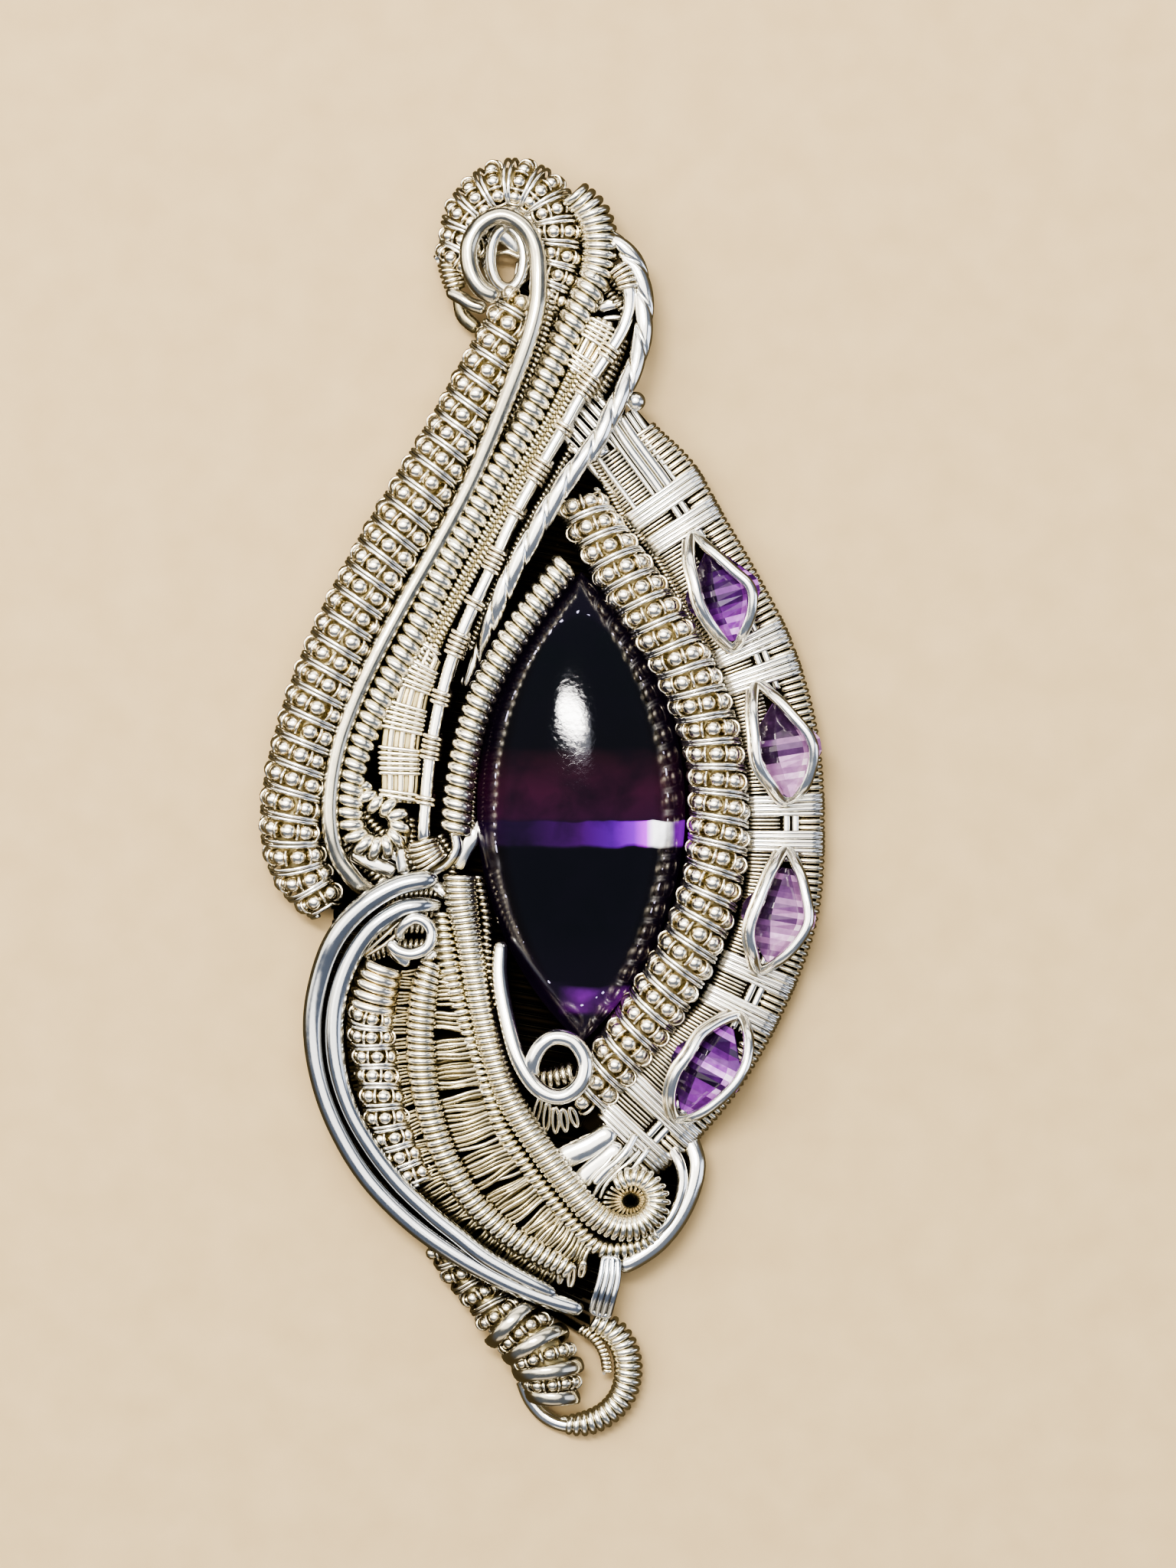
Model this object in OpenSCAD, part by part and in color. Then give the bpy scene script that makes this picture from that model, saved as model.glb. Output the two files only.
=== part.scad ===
// Wire-wrapped pendant: silver wire round a long violet cabochon, with four small square stones.
// It lies on its back: X runs to the right across its face, Y up to the bail, Z out of the face.
// The origin is on the surface, in the middle of the pendant. Millimetres.

/* [Pendant] */
// Length of the whole pendant, from the bottom loop to the top of the bail
pendant_l = 79.5; // [60:0.5:110]

/* [Wire] */
// Thickness of the heavy plain wire
heavy_d = 0.92; // [0.7:0.02:1]
// Thickness of the plain wire of the curls, tails and stone settings
medium_d = 0.66; // [0.5:0.02:0.7]
// Outside of a wire that is wrapped in a close coil
coil_d = 1.36; // [1.1:0.02:1.4]
// Width of the flattened ribbon wire
ribbon_w = 1.0; // [0.8:0.05:1.1]
// Thickness of the ribbon wire
ribbon_t = 0.56; // [0.4:0.02:0.6]

/* [Double-coiled tubes] */
// Outside of the wide tube on the left
left_tube_d = 4.0; // [3:0.1:4]
// Outside of the tube at the right edge of the main stone
right_tube_d = 3.7; // [3:0.1:3.8]
// Outside of the tube that forms the bail
bail_tube_d = 3.3; // [2.8:0.1:3.4]
// Outside of the short tube at the bottom
bottom_tube_d = 3.4; // [2.8:0.1:3.5]
// Outside of the tube inside the crescent wires
fan_tube_d = 2.6; // [2:0.1:2.7]

/* [Main stone] */
// Length of the main stone, point to point
cab_l = 29.4; // [27:0.1:29.6]
// Width of the main stone
cab_w = 12.6; // [11:0.1:12.8]
// Height of the main stone, from its flat back to the top of its dome
cab_h = 5.6; // [4:0.1:6.5]

/* [Small stones] */
// Width of a small stone, across the band
stone_w = 4.9; // [4:0.1:4.9]
// Length of a small stone, along the band
stone_l = 5.4; // [4:0.1:5.4]
// Height of a small stone, from its point to its table
stone_h = 1.9; // [1.6:0.1:2]

/* [Woven band] */
// Width of the band along the small stones
band_w = 4.8; // [4:0.1:4.9]
// Thickness of the band's weave
band_t = 1.2; // [0.9:0.05:1.3]
// How far a binding stands out from the weave, all round
binding_t = 0.14; // [0.08:0.02:0.16]
// Length of a binding along the band
binding_l = 1.2; // [0.8:0.1:1.4]

/* [Back frame] */
// Thickness of the flat frame behind the main stone
frame_t = 0.9; // [0.6:0.1:1]
// Width of its rails
frame_w = 1.3; // [1:0.1:1.6]

/* [Hidden] */

// The routes below are those of a pendant of this length, and are scaled to pendant_l
drawn_l = 79.5;
fit = pendant_l / drawn_l;
// Middle of the routes below, which is moved onto the origin
mid_x = 0.083;
mid_y = -0.099;

// Sides of the swept wires and tubes
wire_sides = 8;
fine_sides = 6;
tube_sides = 12;
// Rings between two rows of a route
steps = 2;
curl_steps = 3;

bright = "silver";
shaded = "gainsboro";
violet = "indigo";
lilac = "mediumpurple";

// Routes. Each row is a point of the wire's centre line and the wire's size there, as a share of
// its full size: [x, y, z, size]

bail_tube_at = [
    [-5.0, 34.3, 1.9, 0.82], [-4.6, 35.9, 1.9, 0.94], [-3.6, 37.2, 1.9, 1.0], [-2.1, 38.0, 1.9, 1.04],
    [-0.4, 37.6, 1.9, 1.02], [0.6, 36.3, 1.9, 1.0], [1.0, 34.6, 1.9, 0.97], [0.9, 32.9, 1.8, 0.88],
    [0.6, 31.3, 1.7, 0.76], [0.2, 29.8, 1.5, 0.6], [-0.2, 28.5, 1.3, 0.48]];

bail_binding_at = [[-5.7, 33.5, 1.9, 1.1], [-5.6, 32.6, 1.9, 1], [-5.3, 31.7, 1.9, 0.9]];

bail_tail_1_at = [[-5.0, 31.1, 2.6, 1], [-4.4, 30.7, 2.7, 1], [-3.4, 30.4, 2.7, 1]];

bail_tail_2_at = [[-5.2, 31.2, 1.4, 1], [-4.9, 30.1, 1.3, 1.1], [-3.9, 29.2, 1.3, 1]];

left_tube_at = [
    [-1.8, 29.9, 2.8, 0.52], [-3.1, 26.8, 2.5, 0.8], [-5.2, 22.9, 2.2, 0.94], [-7.9, 18.1, 2.0, 1],
    [-10.5, 13.6, 2.0, 1], [-12.6, 9.3, 2.0, 1], [-14.2, 5.1, 2.0, 1], [-15.3, 0.7, 2.0, 1],
    [-15.5, -2.5, 2.0, 0.97], [-14.8, -5.0, 1.9, 0.86], [-13.3, -6.8, 1.8, 0.66]];

s_wire_at = [
    [-2.6, 31.0, 3.9, 1], [-3.7, 31.5, 4.0, 1], [-4.4, 32.7, 4.0, 1], [-4.5, 34.2, 4.0, 1],
    [-3.8, 35.5, 4.0, 1], [-2.5, 36.1, 4.0, 1], [-1.2, 35.5, 4.0, 1], [-0.4, 34.2, 4.0, 1],
    [-0.2, 32.4, 4.0, 1], [-0.3, 30.4, 4.2, 1], [-0.9, 28.1, 4.2, 1], [-2.0, 25.2, 4.0, 1],
    [-3.4, 21.8, 3.6, 1], [-4.9, 18.6, 3.4, 1], [-7.0, 14.8, 3.3, 1], [-8.6, 12.0, 3.3, 1],
    [-10.2, 9.0, 3.4, 1], [-11.6, 6.0, 3.4, 1], [-12.6, 3.2, 3.4, 1], [-13.1, 0.4, 3.4, 1],
    [-13.1, -1.9, 3.4, 1], [-12.6, -3.8, 3.1, 1], [-11.5, -5.3, 2.8, 1]];

scroll_coil_at = [
    [2.0, 37.5, 3.4, 1], [3.1, 36.4, 3.2, 1.12], [3.6, 34.8, 3.1, 1.15], [3.5, 32.8, 3.0, 1.1],
    [2.8, 30.7, 3.0, 1.05], [1.6, 28.4, 3.0, 1], [0.5, 26.0, 3.0, 1], [-0.9, 23.0, 3.0, 1],
    [-2.6, 20.0, 3.0, 1], [-4.2, 17.0, 3.0, 1], [-5.9, 14.0, 3.0, 1], [-7.5, 11.0, 3.0, 1],
    [-9.1, 8.0, 3.0, 1], [-10.6, 5.0, 3.0, 0.97], [-11.5, 2.4, 3.0, 0.93], [-11.9, 0.2, 3.0, 0.93],
    [-11.9, -1.4, 3.0, 0.93], [-11.5, -2.5, 3.0, 0.9], [-10.6, -3.1, 3.0, 0.88], [-9.6, -3.0, 3.0, 0.84],
    [-8.9, -2.2, 3.0, 0.8], [-8.9, -1.2, 3.0, 0.78], [-9.5, -0.5, 3.0, 0.74], [-10.4, -0.3, 3.0, 0.7]];

woven_strip_at = [
    [3.9, 29.7, 3.0, 0.7], [3.5, 28.8, 3.0, 1.0], [2.8, 27.5, 3.0, 0.95], [2.2, 26.5, 3.0, 0.7],
    [1.5, 25.1, 3.0, 0.62], [0.4, 23.0, 3.0, 0.55], [-1.3, 20.0, 3.0, 0.5], [-2.9, 17.0, 3.0, 0.5],
    [-4.5, 14.0, 3.0, 0.5], [-5.8, 11.5, 3.0, 0.6], [-7.0, 9.2, 3.0, 0.78], [-7.9, 7.2, 3.0, 0.9],
    [-8.5, 5.0, 3.0, 1], [-8.8, 3.0, 3.0, 1], [-8.8, 0.9, 3.0, 0.95]];

wrapped_wire_at = [
    [4.7, 33.0, 3.3, 1.5], [5.3, 32.1, 3.4, 1.4], [5.5, 30.8, 3.4, 1], [5.1, 29.2, 3.4, 1],
    [4.0, 27.3, 3.5, 1], [2.5, 25.0, 3.5, 1], [1.4, 23.0, 3.5, 1], [-0.3, 20.0, 3.5, 1],
    [-1.9, 17.0, 3.5, 1], [-3.2, 14.0, 3.5, 1], [-4.4, 11.5, 3.5, 1], [-5.4, 9.0, 3.5, 1],
    [-6.2, 6.2, 3.5, 1], [-6.8, 3.2, 3.5, 1], [-7.1, 0.5, 3.5, 1], [-7.3, -2.0, 3.5, 1]];

neck_knot_at = [[-7.5, -2.7, 3.2, 0.9], [-7.2, -3.5, 3.1, 1], [-6.7, -4.2, 3.0, 0.9]];

ribbon_wire_at = [
    [4.75, 34.5, 3.4, 0.8], [5.55, 33.75, 3.4, 1], [6.2, 32.6, 3.4, 1], [6.5, 31.0, 3.4, 1],
    [6.5, 29.4, 3.5, 1], [6.2, 27.6, 3.6, 1], [5.6, 26.0, 3.9, 1], [4.7, 24.2, 4.3, 1],
    [3.5, 22.2, 4.5, 1], [1.9, 20.1, 4.6, 1], [0.6, 18.1, 4.5, 1], [-0.6, 16.0, 4.3, 1],
    [-1.8, 13.9, 4.0, 1], [-2.7, 11.9, 3.6, 1], [-3.4, 10.2, 2.9, 0.9], [-3.9, 9.1, 2.3, 0.8]];

ball_at = [5.95, 24.5, 3.6];

bezel_coil_at = [
    [1.1, 14.4, 3.8, 1], [-0.8, 11.8, 3.9, 1], [-2.7, 8.9, 3.9, 1], [-4.2, 5.9, 3.9, 1],
    [-5.1, 2.7, 3.9, 1], [-5.5, 0.1, 3.9, 1], [-5.7, -2.2, 3.7, 1]];

right_tube_at = [
    [2.3, 18.4, 2.5, 0.86], [4.15, 15.4, 3.1, 0.98], [6.95, 11.2, 3.6, 1.02], [9.2, 7.3, 3.6, 1.02],
    [10.6, 3.2, 3.5, 1.02], [11.0, -1.1, 3.5, 1.02], [10.5, -5.6, 3.5, 1.04], [8.9, -9.8, 3.4, 1.05],
    [6.6, -13.6, 3.0, 1.04], [4.4, -16.6, 2.6, 0.96], [2.5, -19.1, 2.2, 0.75]];

// Middle of the woven band, with its width there as a share of band_w
band_at = [
    [5.4, 21.7, 2.1, 0.9], [7.2, 19.25, 2.0, 1.1], [9.08, 16.45, 2.0, 1.0], [11.3, 12.6, 2.0, 1],
    [13.3, 8.6, 2.0, 1], [14.7, 3.6, 2.0, 1], [15.1, -1.7, 2.0, 0.98], [14.7, -7.0, 2.0, 1],
    [12.9, -12.0, 2.0, 1], [10.2, -16.8, 2.0, 1], [6.9, -20.6, 1.9, 1], [4.6, -23.0, 1.8, 0.75]];

// Where the bindings lie along the band, counted in rows of the table above
bindings_at = [1.25, 1.87, 3.79, 4.2, 5.77, 6.2, 7.79, 8.24, 9.75, 10.35];

// Small stones: [x, y, turn in degrees]
stones = [[11.25, 12.6, 15], [15.05, 2.95, 9], [14.7, -7.3, -10], [10.25, -16.85, -29]];

// The eye of wire round each small stone, from the top down its right side and up its left side
eyes = [
    [[9.4, 16.3], [10.4, 15.4], [11.8, 14.1], [12.9, 13.0], [13.0, 11.6], [12.5, 10.2],
        [11.9, 9.4], [10.7, 10.5], [9.85, 11.9], [9.5, 13.3], [9.2, 14.8]],
    [[13.4, 7.0], [14.5, 6.2], [15.6, 5.0], [16.6, 3.7], [16.8, 2.4], [16.3, 0.7],
        [15.2, -0.1], [14.2, 0.9], [13.4, 2.2], [13.2, 3.9], [13.1, 5.6]],
    [[15.2, -3.3], [15.9, -4.4], [16.3, -5.8], [16.5, -7.6], [15.8, -9.0], [14.7, -10.1],
        [13.6, -10.7], [13.1, -9.6], [12.9, -8.1], [13.5, -6.3], [14.3, -4.5]],
    [[12.2, -13.6], [12.8, -14.7], [12.7, -16.2], [12.1, -17.5], [11.0, -18.7], [9.6, -19.7],
        [8.4, -19.9], [8.0, -18.6], [8.3, -17.1], [9.1, -15.9], [10.1, -14.5]]];

band_tail_1_at = [[3.2, -21.6, 2.5, 1], [2.4, -22.0, 2.5, 1], [1.4, -22.5, 2.4, 1]];
band_tail_2_at = [[3.95, -22.6, 2.6, 1], [3.2, -23.2, 2.5, 1], [2.4, -23.9, 2.4, 1]];

crescent_outer_at = [
    [-7.2, -5.1, 4.0, 0.9], [-9.0, -5.5, 4.1, 1], [-11.0, -6.7, 4.1, 1.04], [-12.7, -8.6, 3.8, 1.04],
    [-13.7, -11.0, 3.2, 1.04], [-14.2, -14.0, 2.8, 1.04], [-13.9, -17.2, 2.8, 1.04],
    [-12.8, -20.4, 2.8, 1.04], [-10.9, -23.6, 2.8, 1.04], [-8.3, -26.3, 2.9, 1.04],
    [-5.4, -28.4, 3.0, 1.04], [-2.3, -30.1, 3.0, 1.04], [0.6, -31.3, 2.9, 1], [2.6, -31.9, 2.6, 0.9]];

crescent_inner_at = [
    [-7.5, -6.7, 3.6, 0.9], [-8.9, -7.0, 3.7, 1], [-10.6, -8.2, 3.7, 1], [-12.0, -10.4, 3.5, 1],
    [-12.8, -13.2, 3.3, 1], [-12.8, -16.2, 3.2, 1], [-12.0, -19.1, 3.2, 1], [-10.4, -22.0, 3.2, 1],
    [-8.1, -24.5, 3.2, 1], [-5.6, -26.7, 3.2, 1], [-3.1, -28.5, 3.2, 0.95], [-0.9, -29.8, 3.2, 0.8]];

small_curl_at = [
    [-9.5, -8.9, 3.9, 1], [-8.9, -9.5, 4.0, 1], [-8.0, -9.7, 4.0, 1], [-7.1, -9.3, 4.0, 1],
    [-6.8, -8.5, 4.0, 1], [-7.1, -7.8, 4.0, 1], [-7.8, -7.5, 4.0, 1], [-8.4, -7.8, 4.0, 0.9]];

large_curl_at = [
    [-2.5, -8.9, 3.2, 0.9], [-2.6, -10.9, 3.6, 1], [-2.2, -13.4, 4.2, 1], [-1.4, -16.2, 4.8, 1],
    [-0.2, -18.0, 5.0, 1], [1.2, -18.5, 5.0, 1], [2.4, -17.7, 5.1, 1], [2.7, -16.3, 5.1, 1],
    [2.0, -15.1, 5.1, 1], [0.8, -14.8, 5.1, 1], [-0.1, -15.4, 5.1, 1]];

fan_tube_at = [
    [-9.8, -10.5, 2.4, 0.9], [-10.3, -12.4, 2.2, 1], [-10.5, -14.3, 1.9, 1.06], [-10.1, -16.8, 1.8, 1],
    [-9.6, -19.4, 1.7, 0.92], [-8.8, -21.6, 1.5, 0.8], [-7.6, -23.5, 1.3, 0.65]];

fan_left_at = [
    [-6.9, -10.3, 3.0, 0.9], [-7.3, -12.0, 3.1, 1.15], [-7.5, -14.5, 3.1, 1.2], [-7.4, -17.0, 3.1, 1.2],
    [-6.9, -19.8, 3.1, 1.1], [-6.0, -22.3, 3.1, 1.05], [-4.6, -24.7, 3.1, 1.05], [-2.8, -26.6, 3.0, 1.05],
    [-0.6, -28.1, 2.9, 1.05], [1.7, -29.3, 2.8, 1]];

fan_middle_at = [
    [-3.9, -16.6, 2.7, 0.8], [-3.2, -18.6, 2.7, 1], [-2.4, -20.8, 2.7, 1], [-1.1, -23.0, 2.7, 1],
    [0.5, -25.2, 2.7, 1], [2.1, -27.0, 2.7, 1], [3.5, -28.0, 2.6, 0.8]];

fan_right_at = [
    [-5.1, -4.9, 3.3, 1.3], [-5.0, -6.4, 3.3, 1.3], [-4.6, -8.4, 3.3, 1.1], [-4.2, -10.8, 3.3, 1.05],
    [-3.7, -13.2, 3.3, 1.05], [-3.1, -15.6, 3.3, 1.05], [-2.3, -18.0, 3.3, 1.05], [-1.2, -20.1, 3.3, 1.05],
    [0.3, -22.3, 3.4, 1.05], [1.9, -24.4, 3.5, 1.05], [3.3, -25.9, 3.6, 1.05], [4.9, -26.7, 3.6, 1.05],
    [6.4, -26.4, 3.6, 1.05], [7.2, -25.2, 3.6, 1.0], [6.8, -24.0, 3.6, 0.9], [5.7, -23.5, 3.6, 0.8],
    [4.7, -24.0, 3.5, 0.7]];

// Middle of the fan's weave, with its width there as a share of fan_w
fan_w = 4.0;
fan_t = 0.6;
fan_weave_at = [
    [-5.9, -11.0, 1.8, 0.4], [-5.6, -14.0, 1.8, 0.6], [-5.2, -17.0, 1.8, 0.75], [-4.4, -20.0, 1.8, 0.85],
    [-3.2, -22.6, 1.8, 0.9], [-1.7, -24.9, 1.8, 0.9], [0.1, -26.7, 1.8, 0.8], [2.0, -28.0, 1.8, 0.5]];

rim_wire_at = [
    [9.75, -21.7, 2.2, 0.9], [9.85, -22.9, 2.2, 1.04], [9.5, -24.6, 2.3, 1.04], [8.6, -26.4, 2.4, 1.04],
    [7.3, -27.9, 2.5, 1.04], [5.6, -29.0, 2.6, 1]];

rim_strand_at = [
    [8.6, -22.8, 2.7, 1], [8.75, -24.0, 2.8, 1], [8.4, -25.3, 2.8, 1], [7.7, -26.5, 2.9, 1]];

strap_at = [[4.3, -28.6, 3.1, 0.8], [4.2, -29.8, 3.4, 0.95], [3.9, -31.0, 3.4, 1], [3.6, -32.2, 2.7, 1]];
strap_w = 1.4;
strap_t = 0.45;

bottom_tube_at = [
    [-6.3, -29.2, 1.3, 0.5], [-4.9, -30.6, 1.4, 0.68], [-3.2, -31.9, 1.5, 0.78], [-1.7, -33.1, 1.7, 0.88],
    [-0.3, -34.5, 1.9, 0.98], [0.5, -35.8, 2.0, 1.04], [0.9, -37.1, 2.0, 0.86], [0.9, -38.1, 2.0, 0.6]];

bottom_loop_at = [
    [3.2, -32.7, 1.6, 0.95], [4.4, -33.3, 1.5, 1.04], [5.2, -34.5, 1.4, 1.08], [5.4, -36.0, 1.3, 1.08],
    [5.0, -37.5, 1.2, 1.04], [4.0, -38.6, 1.1, 1], [2.7, -39.2, 1.0, 0.96], [1.4, -39.3, 0.8, 0.7],
    [0.2, -38.8, 0.55, 0.66], [-0.7, -37.8, 0.5, 0.66], [-1.2, -36.6, 0.5, 0.62]];

// The lining of the bail's eye: two turns of plain wire, wound down into the eye
eye_x = -2.15;
eye_y = 33.6;
eye_half_w = 1.05;
eye_half_l = 1.9;
eye_top = 2.9;
eye_pitch = 0.9;
eye_turns = 2;
eye_rows = 10;
bail_lining_at = [for (i = [0 : eye_turns * eye_rows])
    let (a = 90 + 360 * i / eye_rows)
    [eye_x + eye_half_w * cos(a), eye_y + eye_half_l * sin(a), eye_top - eye_pitch * i / eye_rows, 1]];

// A smooth curve through the rows of a table, read at u rows from its start
function row(t, i, ring) = ring ? t[(i + len(t)) % len(t)] : t[max(0, min(len(t) - 1, i))];
function bend(a, b, c, d, u) =
    b + 0.5 * u * (c - a + u * (2 * a - 5 * b + 4 * c - d + u * (3 * (b - c) + d - a)));
function at(t, u, ring = false) =
    let (i = ring ? floor(u) : min(floor(u), len(t) - 2))
    bend(row(t, i - 1, ring), row(t, i, ring), row(t, i + 1, ring), row(t, i + 2, ring), u - i);

// Cross-sections, as points of a unit shape
function round_section(n) = [for (j = [0 : n - 1]) [cos(360 * (j + 0.5) / n), sin(360 * (j + 0.5) / n)]];
flat_section = [[1, -0.45], [1, 0.45], [0.9, 1], [-0.9, 1], [-1, 0.45], [-1, -0.45], [-0.9, -1], [0.9, -1]];

// A solid swept along rows [x, y, z, size]: w is its half width and h its half height at size 1
module sweep(rows, section, w, h, ring = false, even = false) {
    n = len(rows);
    m = len(section);
    points = [for (i = [0 : n - 1])
        let (
            before = rows[ring ? (i + n - 1) % n : max(i - 1, 0)],
            after = rows[ring ? (i + 1) % n : min(i + 1, n - 1)],
            along = [for (k = [0 : 2]) after[k] - before[k]],
            side = cross(along, [0, 0, 1]) / norm(cross(along, [0, 0, 1])),
            up = cross(side, along) / norm(along),
            size = rows[i][3])
        for (s = section)
            [for (k = [0 : 2]) rows[i][k] + w * size * s[0] * side[k] + h * (even ? 1 : size) * s[1] * up[k]]];
    last = ring ? n - 1 : n - 2;
    skin = [for (i = [0 : last], j = [0 : m - 1])
        let (i2 = (i + 1) % n, j2 = (j + 1) % m)
        [i * m + j, i * m + j2, i2 * m + j2, i2 * m + j]];
    ends = ring ? [] : [[for (j = [m - 1 : -1 : 0]) j], [for (j = [0 : m - 1]) (n - 1) * m + j]];
    polyhedron(points, concat(skin, ends), convexity = 6);
}

function walk(t, per_row) =
    [for (i = [0 : (len(t) - 1) * per_row]) at(t, i / per_row)];
function walk_ring(t, per_row) =
    [for (i = [0 : len(t) * per_row - 1]) at(t, i / per_row, true)];

module wire(t, d, per_row = steps, sides = wire_sides) {
    sweep(walk(t, per_row), round_section(sides), d / 2, d / 2);
}

module tube(t, d) {
    sweep(walk(t, steps), round_section(tube_sides), d / 2, d / 2);
}

// Outline of the main stone: two equal arcs that meet in points
module lens(l, w) {
    r = (l * l + w * w) / (4 * w);
    intersection_for (s = [-1, 1])
        translate([s * (r - w / 2), 0]) circle(r, $fn = 180);
}

cab_x = 2.6;
cab_y = -0.65;
cab_z = frame_t + 0.1;

module back_frame() {
    inset = 1.0;
    // Bars across the frame: [left end, right end, y]
    bars = [[-10.7, 12.0, 8.5], [-13.3, 14.5, -2.0], [-9.5, 11.5, -11.0]];
    color(shaded) linear_extrude(frame_t) {
        translate([cab_x, cab_y]) difference() {
            lens(cab_l - 2 * inset, cab_w - inset);
            lens(cab_l - 2 * inset - 6.5 * frame_w, cab_w - inset - 2 * frame_w);
        }
        for (b = bars)
            translate([b[0], b[2] - frame_w / 2]) square([b[1] - b[0], frame_w]);
    }
}

// A domed stone, as rows [size of its outline, height as a share of cab_h]
cab_rows = [[0.9, 0], [0.97, 0.05], [1, 0.13], [1, 0.27], [0.94, 0.45], [0.84, 0.62], [0.66, 0.8],
    [0.42, 0.93], [0.18, 0.99]];
cab_points = 18;

module cabochon() {
    r = (cab_l * cab_l + cab_w * cab_w) / (4 * cab_w);
    half = asin(cab_l / 2 / r);
    outline = [for (s = [-1, 1], i = [0 : cab_points - 1])
        let (a = half * (2 * i / cab_points - 1))
        s * [r * cos(a) - r + cab_w / 2, r * sin(a)]];
    n = len(outline);
    last = len(cab_rows) - 1;
    points = [for (c = cab_rows, p = outline)
        [cab_x + c[0] * p[0], cab_y + c[0] * p[1], cab_z + c[1] * cab_h]];
    skin = [for (k = [0 : last - 1], j = [0 : n - 1])
        [k * n + j, (k + 1) * n + j, (k + 1) * n + (j + 1) % n, k * n + (j + 1) % n]];
    ends = [[for (j = [0 : n - 1]) j], [for (j = [n - 1 : -1 : 0]) last * n + j]];
    color(violet) polyhedron(points, concat(skin, ends), convexity = 4);
}

// A step-cut lozenge with clipped corners: rows [size of its outline, height as a share of stone_h]
stone_rows = [[0.12, 0], [0.62, 0.3], [1, 0.56], [1, 0.62], [0.86, 0.83], [0.64, 1]];
stone_clip = 0.07;
stone_z = 2.75;

module band_stone(i) {
    s = stones[i];
    e = stone_clip;
    c = 1 - e;
    outline = [[c, -e], [c, e], [e, c], [-e, c], [-c, e], [-c, -e], [-e, -c], [e, -c]];
    n = len(outline);
    last = len(stone_rows) - 1;
    points = [for (r = stone_rows, p = outline)
        [r[0] * p[0] * stone_w / 2, r[0] * p[1] * stone_l / 2, r[1] * stone_h]];
    skin = [for (k = [0 : last - 1], j = [0 : n - 1])
        [k * n + j, (k + 1) * n + j, (k + 1) * n + (j + 1) % n, k * n + (j + 1) % n]];
    ends = [[for (j = [0 : n - 1]) j], [for (j = [n - 1 : -1 : 0]) last * n + j]];
    color(lilac) translate([s[0], s[1], stone_z]) rotate(s[2])
        polyhedron(points, concat(skin, ends), convexity = 2);
}

// The eye rises from the band at its ends to pass over the stone's side corners
eye_low = 3.1;
eye_rise = 1.95;

module stone_wire(i) {
    e = eyes[i];
    n = len(e);
    half = floor(n / 2) + 1;
    rows = [for (k = [0 : n - 1])
        let (share = k < half ? k / half : (n - k) / (n - half))
        [e[k][0], e[k][1], eye_low + eye_rise * pow(sin(180 * share), 0.7), 1]];
    color(bright) sweep(walk_ring(rows, steps), round_section(fine_sides), medium_d / 2, medium_d / 2, ring = true);
}

// A raised stretch of the band at each binding, with plain rows between them
module woven_band() {
    raised = 2 * binding_t;
    step = 0.04;
    last = len(band_at) - 1;
    count = len(bindings_at);
    function pitch(u) = norm(row(band_at, floor(u) + 1) - row(band_at, floor(u)));
    function half(b) = binding_l / 2 / pitch(bindings_at[b]);
    stations = [for (b = [0 : count])
        let (
            from = b == 0 ? -1 : bindings_at[b - 1] + half(b - 1) + step,
            to = b == count ? last + 1 : bindings_at[b] - half(b) - step)
        each concat(
            [for (k = [0 : 2 * last]) if (k / 2 > from && k / 2 < to) [k / 2, 0]],
            b == count ? [] : [for (s = [[-half(b), 0], [step - half(b), 1], [half(b) - step, 1], [half(b), 0]])
                [bindings_at[b] + s[0], s[1]]])];
    m = len(flat_section);
    points = [for (s = stations)
        let (
            p = at(band_at, s[0]),
            along = at(band_at, min(s[0] + 0.1, last)) - at(band_at, max(s[0] - 0.1, 0)),
            side = [along[1], -along[0], 0] / norm([along[0], along[1]]),
            w = (band_w * p[3] + raised * s[1]) / 2,
            h = (band_t + raised * s[1]) / 2)
        for (q = flat_section) [p[0], p[1], p[2] + h * q[1]] + w * q[0] * side];
    skin = [for (i = [0 : len(stations) - 2], j = [0 : m - 1])
        let (j2 = (j + 1) % m) [i * m + j, i * m + j2, (i + 1) * m + j2, (i + 1) * m + j]];
    ends = [[for (j = [m - 1 : -1 : 0]) j], [for (j = [0 : m - 1]) (len(stations) - 1) * m + j]];
    color(bright) polyhedron(points, concat(skin, ends), convexity = 6);
}

module strip(t, w, h) {
    sweep(walk(t, steps), flat_section, w / 2, h / 2, even = true);
}

module bail_tube() { color(bright) tube(bail_tube_at, bail_tube_d); }
module bail_lining() { color(shaded) wire(bail_lining_at, 0.76, 1); }
module bail_binding() { color(bright) wire(bail_binding_at, 1.3); }
module bail_tail_1() { color(bright) wire(bail_tail_1_at, medium_d); }
module bail_tail_2() { color(shaded) wire(bail_tail_2_at, medium_d); }
module left_tube() { color(bright) tube(left_tube_at, left_tube_d); }
module s_wire() { color(bright) wire(s_wire_at, heavy_d); }
module scroll_coil() { color(bright) wire(scroll_coil_at, coil_d); }
module woven_strip() { color(shaded) strip(woven_strip_at, 1.4, 0.6); }
module wrapped_wire() { color(bright) wire(wrapped_wire_at, medium_d); }
module neck_knot() { color(bright) wire(neck_knot_at, 1.7); }
module ribbon_wire() { color(bright) strip(ribbon_wire_at, ribbon_w, ribbon_t); }
module ball_end() { color(shaded) translate(ball_at) sphere(d = heavy_d + 0.08, $fn = 32); }
module bezel_coil() { color(bright) wire(bezel_coil_at, coil_d); }
module right_tube() { color(bright) tube(right_tube_at, right_tube_d); }
module band_tail_1() { color(bright) wire(band_tail_1_at, heavy_d); }
module band_tail_2() { color(bright) wire(band_tail_2_at, heavy_d); }
module crescent_outer() { color(bright) wire(crescent_outer_at, heavy_d); }
module crescent_inner() { color(bright) wire(crescent_inner_at, heavy_d); }
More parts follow.
